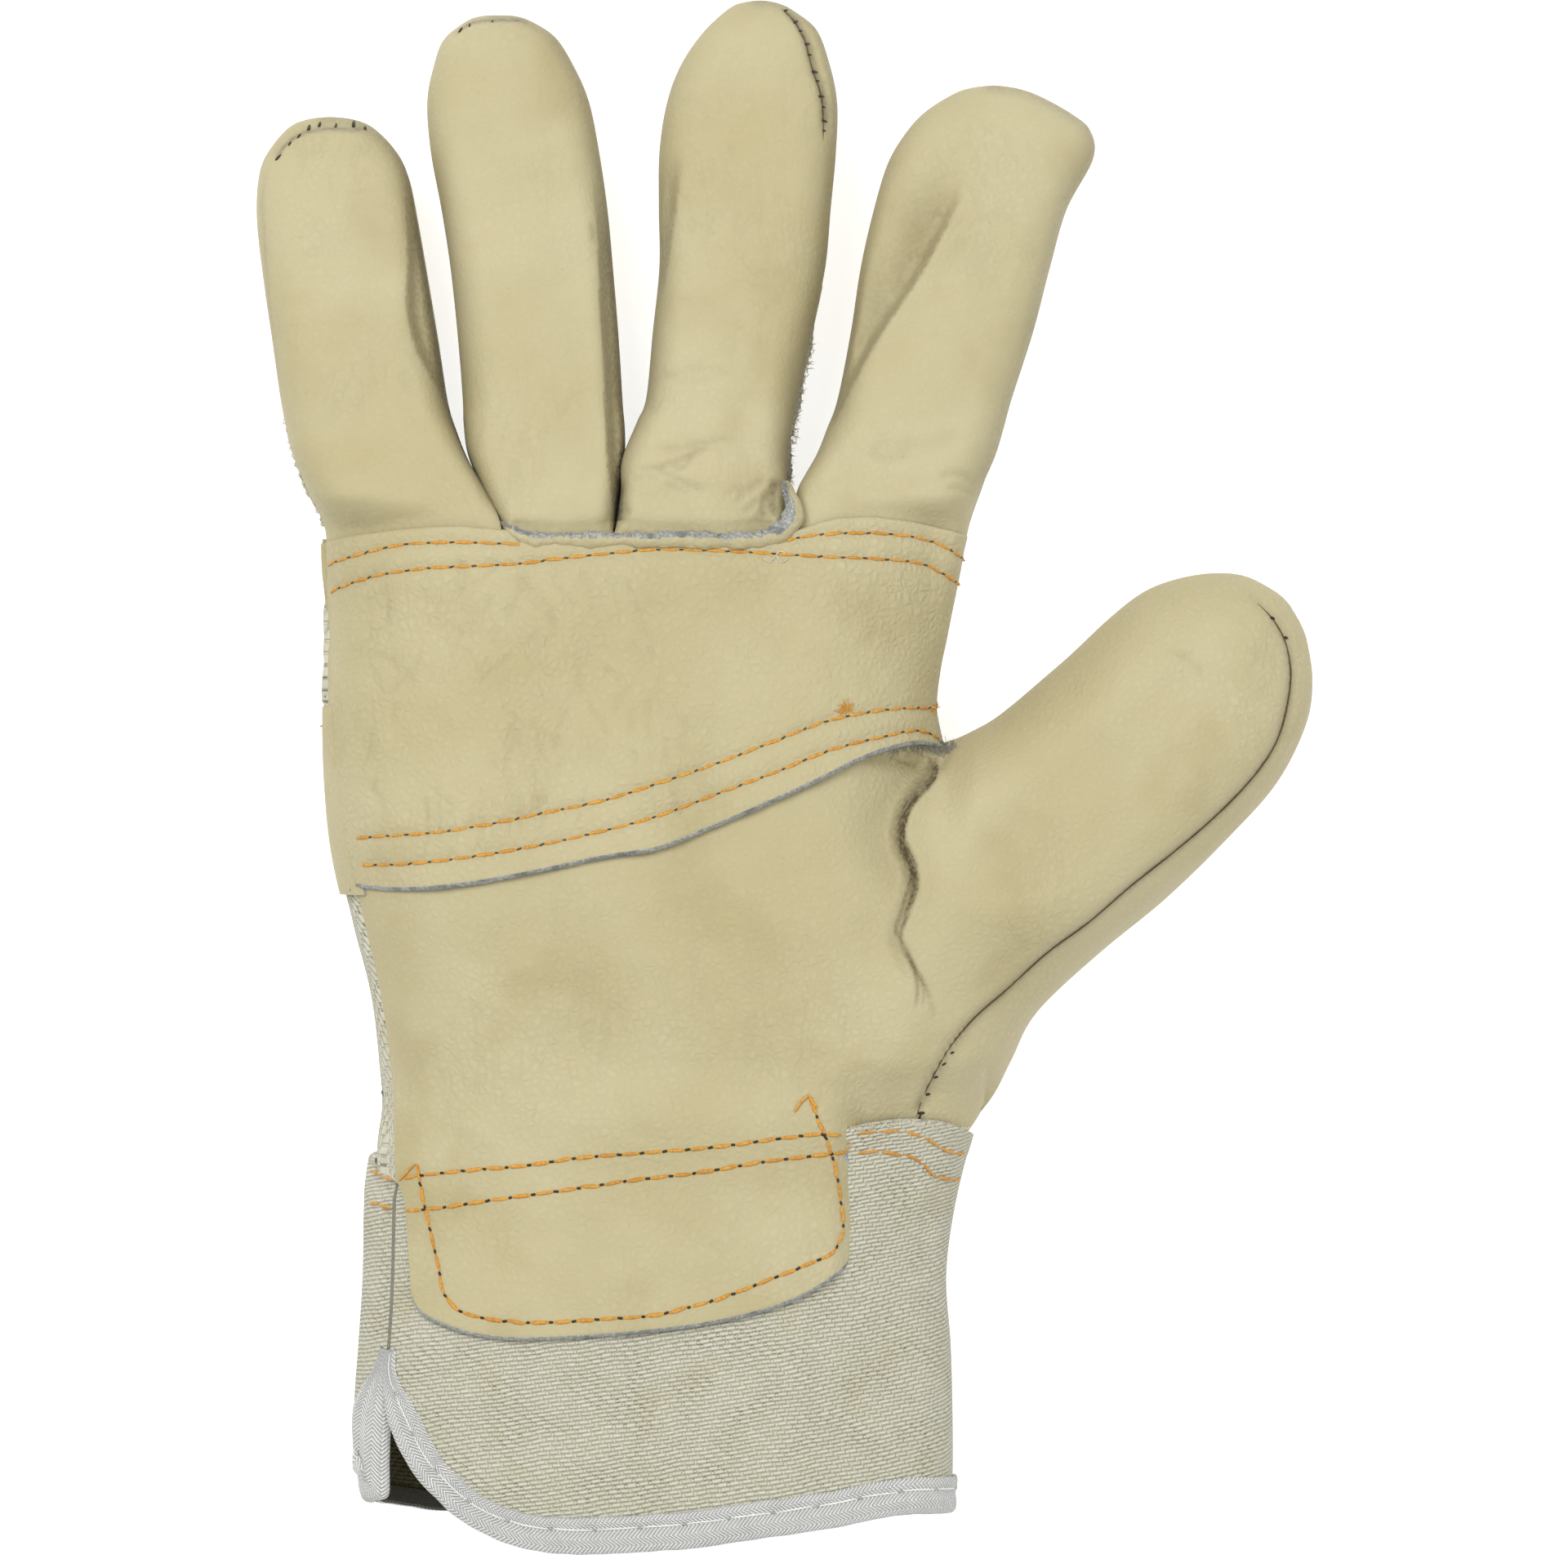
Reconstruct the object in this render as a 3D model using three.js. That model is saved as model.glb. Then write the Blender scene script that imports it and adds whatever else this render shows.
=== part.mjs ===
// Leather and canvas work glove for the right hand, lying on its back with the palm up.
// Millimetres. X runs from the little finger to the thumb, Y from the cuff to the fingertips, Z up.
import * as THREE from "three";

// Wall thicknesses and the gap left between two pieces
const leatherWall = 1.6;
const canvasWall = 1.2;
const overlayWall = 1.5;
const pieceGap = 0.3;
const seamGap = 0.15;

// Roundness of the sections: 2 is an ellipse, more is boxier
const palmRoundness = 2.5;
const backRoundness = 3.0;
const fingerRoundness = 2.3;
const restFlattening = 1.0;

// Segments round and along the panels
const fingerColumns = 8;
const combColumns = 6;
const palmColumns = 14;
const patchRows = 6;
const thumbColumns = 12;
const backRows = 6;
const tongueRows = 4;
const cuffColumns = 36;
const cuffLowerRows = 6;
const cuffUpperY = [-59.1, -63.6, -68.4, -77.0, -86.0, -95.2];
const cuffUpperRows = cuffUpperY.length - 1;

// Lines that several panels share
const knuckleY = 43.1;
const palmTopY = 42.7;
const thumbCrotch = { x: 27.3, y: 6.3 };
const thumbHeel = { x: 32.2, y: -60.7 };
const wristLeftY = -61.9;
const centreY = -1.6;
const fingertipJoint = 4;

// Knuckle strap round the back
const strapTopLeftY = 12.5;
const strapWidth = 32;
const strapSlope = 24.5;
const strapRows = 4;

// Cuff: vent slit on the little-finger side and the tape bound round its edge
const slitAngle = 154;
const slitTopY = -95.2;
const tapeWidth = 5;
const tapeThickness = 0.85;
const tapeGap = 0.6;

// Rolled seam at the base of the ring and middle fingers
const weltLeftX = -46.2;
const weltRightX = 0.4;
const weltHalfWidth = 1.5;
const weltHalfHeight = 1.4;

const table = (columns, values) => {
  const names = columns.split(" ");
  return values.map((row) => Object.fromEntries(names.map((name, i) => [name, row[i]])));
};

// Hand: outer face of the base leather and canvas, one row per section
const hand = table("y leftX rightX seamZ topZ backZ", [
  [43.1, -78.0, 31.6, 14.5, 31.0, 1.8],
  [35.4, -77.5, 30.2, 14.5, 32.4, 1.8],
  [24.3, -76.9, 28.0, 14.5, 33.8, 1.8],
  [13.2, -77.4, 26.1, 14.5, 35.2, 1.8],
  [6.3, -77.4, 27.3, 14.5, 36.0, 1.8],
  [-0.7, -77.1, 37.7, 14.6, 37.0, 1.8],
  [-11.8, -76.0, 47.5, 14.7, 38.2, 1.8],
  [-24.3, -73.2, 49.1, 14.8, 39.0, 1.8],
  [-36.8, -70.1, 45.4, 14.9, 38.6, 1.8],
  [-48.0, -68.7, 39.4, 15.0, 37.8, 1.8],
  [-54.9, -68.2, 35.5, 15.0, 37.2, 1.8],
  [-61.9, -69.6, 32.2, 15.0, 36.9, 1.8],
]);

// Cuff: outer face of the canvas
const cuff = table("y leftX rightX seamZ topZ backZ", [
  [-59.1, -66.3, 28.9, 15.0, 34.6, 4.4],
  [-63.6, -67.0, 29.5, 15.0, 34.8, 4.2],
  [-68.4, -70.2, 30.2, 16.0, 35.5, 3.0],
  [-73.0, -71.0, 29.1, 17.0, 36.2, 2.6],
  [-84.1, -71.2, 27.7, 18.5, 37.6, 2.0],
  [-95.2, -71.8, 28.3, 19.8, 39.0, 1.6],
  [-106.3, -72.5, 28.6, 20.6, 40.2, 1.5],
  [-117.5, -72.5, 28.7, 21.0, 41.0, 1.5],
  [-130.0, -72.1, 28.0, 21.2, 41.6, 1.5],
]);

// Fingers: seam points on both sides of each section, with the heights of seam, front and back
const stationColumns = "leftX leftY rightX rightY seamZ topZ backZ merge";
const fingers = {
  little: table(stationColumns, [
    [-78.0, 43.1, -47.5, 43.1, 14.5, 31.0, 1.8, 1.0],
    [-80.8, 49.3, -50.5, 49.3, 14.5, 30.6, 1.8, 0.55],
    [-83.1, 54.9, -53.6, 54.9, 14.6, 30.0, 1.9, 0.05],
    [-85.3, 64.6, -56.9, 64.6, 15.0, 29.0, 2.2, 0],
    [-86.7, 74.4, -58.4, 74.4, 15.4, 28.0, 2.8, 0],
    [-88.1, 84.1, -60.0, 84.1, 15.8, 27.5, 3.4, 0],
    [-89.3, 95.2, -61.9, 95.2, 16.2, 27.0, 4.4, 0],
    [-88.8, 102.9, -63.5, 102.9, 16.5, 26.0, 6.0, 0],
    [-86.8, 107.3, -66.0, 107.3, 16.8, 24.6, 8.0, 0],
    [-83.6, 110.8, -69.7, 110.8, 17.1, 22.4, 11.0, 0],
    [-76.9, 112.6, -76.9, 112.6, 17.4, 17.4, 17.4, 0],
  ]),
  ring: table(stationColumns, [
    [-46.8, 43.1, -28.6, 43.1, 14.5, 32.0, 1.8, 1.0],
    [-49.8, 49.3, -27.6, 49.3, 14.5, 31.5, 1.8, 0.55],
    [-52.9, 54.9, -26.8, 54.9, 14.6, 31.0, 1.9, 0.05],
    [-54.4, 64.6, -27.0, 64.6, 15.0, 30.0, 2.0, 0],
    [-55.3, 75.8, -27.7, 75.8, 15.3, 29.0, 2.4, 0],
    [-56.5, 86.9, -28.6, 86.9, 15.6, 28.3, 2.8, 0],
    [-58.0, 96.6, -29.5, 96.6, 16.0, 28.0, 3.4, 0],
    [-59.8, 106.3, -30.9, 106.3, 16.4, 27.6, 4.0, 0],
    [-60.4, 114.7, -32.6, 114.7, 16.8, 26.8, 5.0, 0],
    [-59.3, 120.8, -35.2, 120.8, 17.0, 25.8, 6.4, 0],
    [-57.5, 125.5, -38.4, 125.8, 17.2, 24.2, 8.6, 0],
    [-53.7, 128.6, -42.6, 128.6, 17.5, 21.8, 11.8, 0],
    [-48.2, 129.8, -48.2, 129.8, 17.8, 17.8, 17.8, 0],
  ]),
  middle: table(stationColumns, [
    [-28.0, 43.1, 0.5, 43.1, 14.5, 32.0, 1.8, 1.0],
    [-27.0, 49.3, 0.8, 49.3, 14.5, 31.6, 1.8, 0.5],
    [-26.1, 54.9, 1.0, 54.9, 14.6, 31.2, 1.9, 0.05],
    [-23.3, 64.6, 2.7, 64.6, 15.0, 30.4, 2.0, 0],
    [-22.2, 75.8, 5.1, 75.8, 15.3, 29.4, 2.4, 0],
    [-21.1, 86.9, 7.4, 86.9, 15.6, 28.6, 2.8, 0],
    [-21.2, 96.6, 8.3, 96.6, 16.0, 28.2, 3.4, 0],
    [-21.1, 106.3, 9.2, 106.3, 16.4, 27.8, 4.0, 0],
    [-19.8, 114.7, 9.4, 114.7, 16.8, 27.0, 5.0, 0],
    [-17.3, 121.3, 8.0, 121.6, 17.0, 26.0, 6.4, 0],
    [-13.4, 126.9, 5.8, 127.2, 17.2, 24.4, 8.6, 0],
    [-9.1, 130.8, 1.9, 130.4, 17.5, 21.8, 11.8, 0],
    [-3.7, 132.3, -3.7, 132.3, 17.8, 17.8, 17.8, 0],
  ]),
  index: table(stationColumns, [
    [1.2, 43.1, 31.6, 43.1, 14.5, 31.0, 1.8, 1.0],
    [2.4, 49.3, 33.8, 49.3, 14.5, 30.8, 1.8, 0.35],
    [5.5, 54.9, 36.2, 54.9, 14.6, 30.6, 1.9, 0],
    [9.1, 64.6, 39.0, 64.6, 15.0, 30.2, 2.0, 0],
    [11.3, 75.8, 42.6, 75.8, 15.3, 29.4, 2.4, 0],
    [13.0, 86.9, 45.5, 86.9, 15.6, 28.6, 2.9, 0],
    [15.2, 96.6, 48.3, 96.6, 16.0, 28.0, 3.6, 0],
    [17.6, 104.5, 52.8, 105.2, 16.4, 27.0, 4.6, 0],
    [20.8, 109.8, 52.2, 110.1, 16.7, 26.0, 6.0, 0],
    [24.1, 113.3, 48.9, 113.0, 17.0, 24.4, 8.2, 0],
    [28.7, 116.2, 43.6, 115.9, 17.3, 21.8, 11.4, 0],
    [35.9, 117.9, 35.9, 117.9, 17.6, 17.6, 17.6, 0],
  ]),
};

// Thumb: the first rib is the line on which it leaves the hand
const thumb = table(stationColumns, [
  [27.3, 6.3, 32.2, -60.7, 14.7, 36.0, 1.8, 1.0],
  [35.2, 9.9, 37.7, -50.7, 14.9, 36.0, 2.0, 0.65],
  [42.9, 16.0, 43.2, -39.6, 15.2, 35.6, 2.4, 0.3],
  [49.1, 21.5, 53.7, -29.6, 16.0, 35.0, 3.0, 0.05],
  [55.0, 27.1, 64.8, -20.4, 16.8, 34.4, 3.6, 0],
  [60.7, 31.6, 75.3, -10.1, 17.6, 33.8, 4.4, 0],
  [66.2, 33.9, 83.6, -0.7, 18.4, 33.2, 5.4, 0],
  [72.5, 35.0, 88.5, 9.0, 19.0, 32.0, 6.8, 0],
  [78.0, 34.6, 89.7, 16.3, 19.4, 30.2, 8.6, 0],
  [82.6, 32.4, 88.9, 22.9, 19.8, 27.0, 11.8, 0],
  [86.7, 28.2, 86.7, 28.2, 20.0, 20.0, 20.0, 0],
]);

// Lower edge of the palm patch and of the zone above it on the back
const patchEdge = table("part y", [
  [0.0, -17.6],
  [0.17, -17.7],
  [0.25, -16.7],
  [0.37, -14.4],
  [0.46, -12.4],
  [0.54, -11.0],
  [0.62, -7.9],
  [0.68, -5.3],
  [0.73, -2.9],
  [0.8, 0.7],
  [0.86, 3.8],
  [0.91, 5.8],
  [0.96, 6.6],
  [1.0, 6.3],
]);

// Tongue of palm leather over the cuff: its lower edge
const tongueEdge = table("x y", [
  [-63.0, -85.0],
  [-61.0, -88.4],
  [-56.5, -90.1],
  [-48.0, -92.0],
  [-38.9, -92.2],
  [-22.0, -91.0],
  [-13.2, -89.9],
  [-5.9, -88.5],
  [2.2, -85.6],
  [8.0, -82.0],
  [12.8, -76.0],
]);
const tongueLeftX = -62.8;
const tongueRightX = 12.9;

// Cuff hem: distance along Y by angle round the cuff, from the slit over the front, right and back
const hem = table("angle y", [
  [135, -117.0],
  [129, -121.2],
  [121, -124.8],
  [113, -126.8],
  [104, -127.6],
  [92, -127.2],
  [76, -125.2],
  [60, -123.6],
  [40, -122.0],
  [20, -122.4],
  [-10, -123.6],
  [-45, -124.8],
  [-90, -125.4],
  [-120, -125.2],
  [-138, -124.2],
  [-147, -122.2],
  [-153, -118.8],
]);

// Half openings of the slit, in degrees, from its top to the hem
const slit = table("part front back", [
  [0, 0, 0],
  [0.2, 3, 10],
  [0.45, 8, 24],
  [0.7, 13, 33],
  [1, 19, 42],
]);

const leather = { colour: 0xc9be93, roughness: 0.72, metalness: 0 };
const canvas = { colour: 0xcbc8b4, roughness: 0.9, metalness: 0 };
const tape = { colour: 0xe0e0dd, roughness: 0.88, metalness: 0 };

const mix = (a, b, t) => a + (b - a) * t;
const cosineStep = (t) => (1 - Math.cos(Math.PI * t)) / 2;
const clamp = (v) => Math.min(1, Math.max(0, v));

// Row of a table at a value of its key column, smooth through the rows beside it
function rowAt(rows, key, value, smooth = true) {
  const rising = rows[rows.length - 1][key] > rows[0][key];
  const inside = (row) => (rising ? row[key] <= value : row[key] >= value);
  let i = 0;
  while (i < rows.length - 2 && inside(rows[i + 1])) i += 1;
  const [a, b] = [rows[i], rows[i + 1]];
  const before = rows[Math.max(i - 1, 0)];
  const after = rows[Math.min(i + 2, rows.length - 1)];
  const t = clamp((value - a[key]) / (b[key] - a[key]));
  const out = {};
  for (const name of Object.keys(a)) {
    if (!smooth) {
      out[name] = mix(a[name], b[name], t);
      continue;
    }
    const span = b[key] - a[key];
    const slopeA = (b[name] - before[name]) / (b[key] - before[key] || 1);
    const slopeB = (after[name] - a[name]) / (after[key] - a[key] || 1);
    const t2 = t * t;
    const t3 = t2 * t;
    out[name] =
      (2 * t3 - 3 * t2 + 1) * a[name] +
      (t3 - 2 * t2 + t) * span * slopeA +
      (3 * t2 - 2 * t3) * b[name] +
      (t3 - t2) * span * slopeB;
  }
  return out;
}

// Height of a rounded section, 0 at both edges and 1 in the middle
const dome = (across, roundness) => {
  const side = Math.abs(2 * clamp(across) - 1);
  return Math.max(0, 1 - side ** roundness) ** (1 / roundness);
};

const handFront = (x, y) => {
  const row = rowAt(hand, "y", y, false);
  const across = (x - row.leftX) / (row.rightX - row.leftX);
  return row.seamZ + (row.topZ - row.seamZ) * dome(across, palmRoundness);
};
const handBack = (x, y) => {
  const row = rowAt(hand, "y", y, false);
  const across = (x - row.leftX) / (row.rightX - row.leftX);
  const drop = (row.seamZ - row.backZ + restFlattening) * dome(across, backRoundness);
  return Math.max(row.seamZ - drop, row.backZ);
};
const handRight = (y) => {
  if (y > thumbCrotch.y) return rowAt(hand, "y", y, false).rightX;
  const down = (thumbCrotch.y - y) / (thumbCrotch.y - thumbHeel.y);
  return mix(thumbCrotch.x, thumbHeel.x, down);
};

// One point of a panel; the fixed axes are those its inner face keeps
const point = (x, y, z, ...fixed) => ({ at: new THREE.Vector3(x, y, z), fixed });

// Panel points become one closed shell: outer face, inner face and the edges between them
function shell(name, grids, material, outerOffset, innerOffset) {
  const corners = [];
  const lookup = new Map();
  const idOf = (p) => {
    const key = [p.at.x, p.at.y, p.at.z].map((v) => Math.round(v * 400)).join();
    if (!lookup.has(key)) {
      lookup.set(key, corners.length);
      corners.push({ at: p.at.clone(), fixed: new Set(), normal: new THREE.Vector3() });
    }
    const id = lookup.get(key);
    p.fixed.forEach((axis) => corners[id].fixed.add(axis));
    return id;
  };
  const faces = [];
  for (const { rows, turned } of grids) {
    const ids = rows.map((row) => row.map(idOf));
    for (let i = 0; i + 1 < ids.length; i += 1) {
      for (let j = 0; j + 1 < ids[i].length; j += 1) {
        const [a, b, c, d] = [ids[i][j], ids[i][j + 1], ids[i + 1][j + 1], ids[i + 1][j]];
        for (const face of [[a, b, c], [a, c, d]]) {
          if (new Set(face).size < 3) continue;
          faces.push(turned ? [face[0], face[2], face[1]] : face);
        }
      }
    }
  }
  for (const [a, b, c] of faces) {
    const ab = corners[b].at.clone().sub(corners[a].at);
    const ac = corners[c].at.clone().sub(corners[a].at);
    const weight = ab.cross(ac);
    for (const id of [a, b, c]) corners[id].normal.add(weight);
  }
  const positions = [];
  for (const side of [outerOffset, innerOffset]) {
    for (const corner of corners) {
      const n = corner.normal.clone();
      corner.fixed.forEach((axis) => n.setComponent("xyz".indexOf(axis), 0));
      n.normalize();
      const moved = corner.at.clone().addScaledVector(n, side);
      positions.push(moved.x, moved.y, moved.z);
    }
  }
  const count = corners.length;
  const indices = [];
  const edges = new Set();
  for (const face of faces) {
    indices.push(...face);
    indices.push(face[0] + count, face[2] + count, face[1] + count);
    for (let k = 0; k < 3; k += 1) edges.add(face[k] + "," + face[(k + 1) % 3]);
  }
  for (const edge of edges) {
    const [u, v] = edge.split(",").map(Number);
    if (edges.has(v + "," + u)) continue;
    indices.push(v, u, u + count, v, u + count, v + count);
  }
  return meshOf(name, positions, indices, material);
}

function meshOf(name, positions, indices, look) {
  const geometry = new THREE.BufferGeometry();
  geometry.setAttribute("position", new THREE.Float32BufferAttribute(positions, 3));
  geometry.setIndex(indices);
  geometry.computeVertexNormals();
  const material = new THREE.MeshStandardMaterial({
    color: look.colour,
    roughness: look.roughness,
    metalness: look.metalness,
    flatShading: true,
  });
  const mesh = new THREE.Mesh(geometry, material);
  mesh.name = name;
  return mesh;
}

// Section of a finger at one station: the front or the back half, left seam to right seam
function fingerSection(station, isFront, columns, handHeight, shiftY = 0) {
  const points = [];
  for (let j = 0; j <= columns; j += 1) {
    const part = j / columns;
    const across = cosineStep(part);
    const x = mix(station.leftX, station.rightX, across);
    const y = mix(station.leftY, station.rightY, across) + shiftY;
    const far = isFront ? station.topZ : station.backZ;
    const round = station.seamZ + (far - station.seamZ) * dome(across, fingerRoundness);
    let z = mix(round, handHeight(x, y, across), station.merge);
    const onSeam = j === 0 || j === columns;
    const closed = station.leftX === station.rightX;
    const fixed = [];
    if (onSeam || closed) {
      fixed.push(Math.abs(z - station.seamZ) > 2 ? "x" : "z");
      z += isFront ? seamGap : -seamGap;
    }
    points.push(point(x, y, z, ...fixed));
  }
  return points;
}

const keepY = (row) => row.map((p) => ({ at: p.at, fixed: [...p.fixed, "y"] }));

const parts = [];

// Front leather of each finger, from the knuckle line to the tip
for (const [name, stations] of Object.entries(fingers)) {
  const rows = stations.map((s, k) => {
    const row = fingerSection(s, true, fingerColumns, handFront);
    return k === 0 ? keepY(row) : row;
  });
  parts.push(shell(name + "_finger_front", [{ rows }], leather, 0, -leatherWall));
}

// Canvas back: the hand and the lower part of the little, ring and middle fingers
const names = Object.keys(fingers);
const knuckleParts = [];
names.forEach((name, f) => {
  const base = fingers[name][0];
  const left = f === 0 ? base.leftX : (fingers[names[f - 1]][0].rightX + base.leftX) / 2;
  const next = fingers[names[f + 1]];
  const right = next ? (base.rightX + next[0].leftX) / 2 : base.rightX;
  for (let j = f === 0 ? 0 : 1; j <= combColumns; j += 1) {
    knuckleParts.push(mix(left, right, cosineStep(j / combColumns)));
  }
});
const knuckleLeft = knuckleParts[0];
const knuckleWidth = knuckleParts[knuckleParts.length - 1] - knuckleLeft;
const acrossBack = knuckleParts.map((x) => (x - knuckleLeft) / knuckleWidth);

// Point of the hand on a row: rows above the patch edge first, then those beside the thumb
function handPoint(across, topY, rowPart, zone, heightOf) {
  const edgeY = rowAt(patchEdge, "part", across).y;
  const wristY = mix(wristLeftY, thumbHeel.y, across);
  const y = zone === "upper" ? mix(topY, edgeY, rowPart) : mix(edgeY, wristY, rowPart);
  const left = rowAt(hand, "y", y, false).leftX;
  const x = mix(left, handRight(y), across);
  return { x, y, z: heightOf(x, y) };
}

const backGrid = [];
for (let i = 0; i <= patchRows + backRows; i += 1) {
  const upper = i <= patchRows;
  const part = upper ? i / patchRows : cosineStep((i - patchRows) / backRows);
  backGrid.push(
    acrossBack.map((across, j) => {
      const p = handPoint(across, knuckleY, part, upper ? "upper" : "lower", handBack);
      const onLeft = j === 0;
      const onRight = j === acrossBack.length - 1;
      const fixed = [];
      if (onLeft || (onRight && upper)) {
        p.z = rowAt(hand, "y", p.y, false).seamZ - seamGap;
        fixed.push("z");
      }
      if (onRight && !upper) {
        p.x -= seamGap;
        fixed.push("x");
      }
      if (i === 0 || i === patchRows + backRows) fixed.push("y");
      return point(p.x, p.y, p.z, ...fixed);
    }),
  );
}
const combGrids = [{ rows: backGrid }];
["little", "ring", "middle"].forEach((name, f) => {
  const rows = fingers[name].slice(0, fingertipJoint + 1).map((s, k) => {
    const shift = k === fingertipJoint ? -seamGap : 0;
    const row = fingerSection(s, false, combColumns, handBack, shift);
    if (k === 0) return backGrid[0].slice(f * combColumns, (f + 1) * combColumns + 1);
    return k === fingertipJoint ? keepY(row) : row;
  });
  combGrids.push({ rows, turned: true });
});
parts.push(shell("back_canvas", combGrids, canvas, 0, -canvasWall));

// Leather tips on the back of those three fingers, and the whole back of the index finger
for (const name of ["little", "ring", "middle"]) {
  const rows = fingers[name].slice(fingertipJoint).map((s, k) => {
    const row = fingerSection(s, false, fingerColumns, handBack, k === 0 ? seamGap : 0);
    return k === 0 ? keepY(row) : row;
  });
  parts.push(shell(name + "_fingertip_back", [{ rows, turned: true }], leather, 0, -leatherWall));
}
const indexBack = fingers.index.map((s, k) => {
  const row = fingerSection(s, false, fingerColumns, handBack, k === 0 ? pieceGap : 0);
  return k === 0 ? keepY(row) : row;
});
parts.push(shell("index_finger_back", [{ rows: indexBack, turned: true }], leather, 0, -leatherWall));

// Palm leather: palm, front of the thumb and the tongue on the cuff, in one piece
const palmGrid = [];
for (let i = 0; i <= patchRows + thumbColumns; i += 1) {
  const upper = i <= patchRows;
  const part = upper ? i / patchRows : cosineStep((i - patchRows) / thumbColumns);
  const row = [];
  for (let j = 0; j <= palmColumns; j += 1) {
    const across = cosineStep(j / palmColumns);
    const p = handPoint(across, palmTopY, part, upper ? "upper" : "lower", handFront);
    const fixed = [];
    if (j === 0 || (j === palmColumns && upper)) {
      p.z = rowAt(hand, "y", p.y, false).seamZ + seamGap;
      fixed.push("z");
    }
    if (i === 0) fixed.push("y");
    row.push(point(p.x, p.y, p.z, ...fixed));
  }
  palmGrid.push(row);
}
// Ribs of the thumb flow out of the heights that the hand has along the first of them
function thumbRibs(isFront) {
  const handHeight = isFront ? handFront : handBack;
  const rootHeight = (x, y, across) =>
    handHeight(mix(thumbCrotch.x, thumbHeel.x, across), mix(thumbCrotch.y, thumbHeel.y, across));
  return thumb.map((rib) => fingerSection(rib, isFront, thumbColumns, rootHeight));
}
const thumbFront = thumbRibs(true).map((row, k) =>
  k === 0 ? palmGrid.slice(patchRows).map((r) => r[palmColumns]) : row,
);
const last = thumbFront[0].length - 1;
thumbFront[0][last].at.z = rowAt(hand, "y", thumbHeel.y, false).seamZ + seamGap;
thumbFront[0][last].fixed.push("z");

const tongueFirst = 2;
const tongueLast = 10;
const cuffRowAt = (y) => rowAt(cuff, "y", y, false);
const overCuff = leatherWall + 3 * pieceGap;
const tongueRowsOf = [palmGrid[palmGrid.length - 1].slice(tongueFirst, tongueLast + 1)];
for (let i = 1; i <= tongueRows; i += 1) {
  const row = [];
  for (let j = tongueFirst; j <= tongueLast; j += 1) {
    const start = tongueRowsOf[0][j - tongueFirst].at;
    const across = (j - tongueFirst) / (tongueLast - tongueFirst);
    const endX = mix(tongueLeftX, tongueRightX, mix(across, cosineStep(across), 0.5));
    const down = i / tongueRows;
    const x = mix(start.x, endX, Math.min(1, down * 2));
    const y = mix(start.y, rowAt(tongueEdge, "x", x, false).y, down);
    const s = cuffRowAt(y);
    const width = s.rightX - s.leftX + 2 * overCuff;
    const height = s.topZ + overCuff - s.seamZ;
    const z = s.seamZ + height * dome((x - s.leftX + overCuff) / width, palmRoundness);
    row.push(point(x, y, z));
  }
  tongueRowsOf.push(row);
}
parts.push(
  shell(
    "palm_leather",
    [
      { rows: palmGrid, turned: true },
      { rows: thumbFront },
      { rows: tongueRowsOf, turned: true },
    ],
    leather,
    0,
    -leatherWall,
  ),
);

// Back of the thumb
const thumbBack = thumbRibs(false).map((row, k) => {
  if (k > 0) return row;
  return row.map((p) => ({
    at: p.at.clone().add(new THREE.Vector3(pieceGap, 0, 0)),
    fixed: [...p.fixed, "x"],
  }));
});
parts.push(shell("thumb_back", [{ rows: thumbBack, turned: true }], leather, 0, -leatherWall));

// Reinforcement patch over the palm: follows the palm grid, lower where the rolled seam runs
const gridPoint = (grid, rowPlace, j) => {
  const i = Math.min(Math.floor(rowPlace), grid.length - 2);
  const [a, b] = [grid[i][j], grid[i + 1][j]];
  const shared = a.fixed.filter((axis) => b.fixed.includes(axis));
  return { at: a.at.clone().lerp(b.at, rowPlace - i), fixed: shared };
};
const weltDrop = (x) => (x > weltLeftX - 3 && x < weltRightX + 3 ? 0.42 : 0);
const patchGrid = [];
for (let i = 0; i <= patchRows; i += 1) {
  const row = [];
  for (let j = 0; j <= palmColumns; j += 1) {
    const place = i === 0 ? weltDrop(palmGrid[0][j].at.x) : Math.min(i, patchRows - 0.12);
    const p = gridPoint(palmGrid, place, j);
    row.push({ at: p.at, fixed: p.fixed });
  }
  patchGrid.push(i === 0 ? keepY(row) : row);
}
parts.push(
  shell("palm_patch", [{ rows: patchGrid, turned: true }], leather, pieceGap + overlayWall, pieceGap),
);

// Knuckle strap round the back, from seam to seam
const strapGrid = [];
for (let i = 0; i <= strapRows; i += 1) {
  const row = [];
  for (let j = 0; j < acrossBack.length; j += 1) {
    const wanted = strapTopLeftY + strapSlope * acrossBack[j] - (strapWidth * i) / strapRows;
    const floorY = rowAt(patchEdge, "part", acrossBack[j]).y;
    const y = Math.max(wanted, floorY + 0.5);
    let place = 0;
    while (place < patchRows - 1 && backGrid[place + 1][j].at.y > y) place += 1;
    const [a, b] = [backGrid[place][j].at, backGrid[place + 1][j].at];
    row.push(gridPoint(backGrid, place + clamp((a.y - y) / (a.y - b.y)), j));
  }
  strapGrid.push(row);
}
parts.push(
  shell("knuckle_strap", [{ rows: strapGrid }], leather, pieceGap + overlayWall, pieceGap),
);

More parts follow.
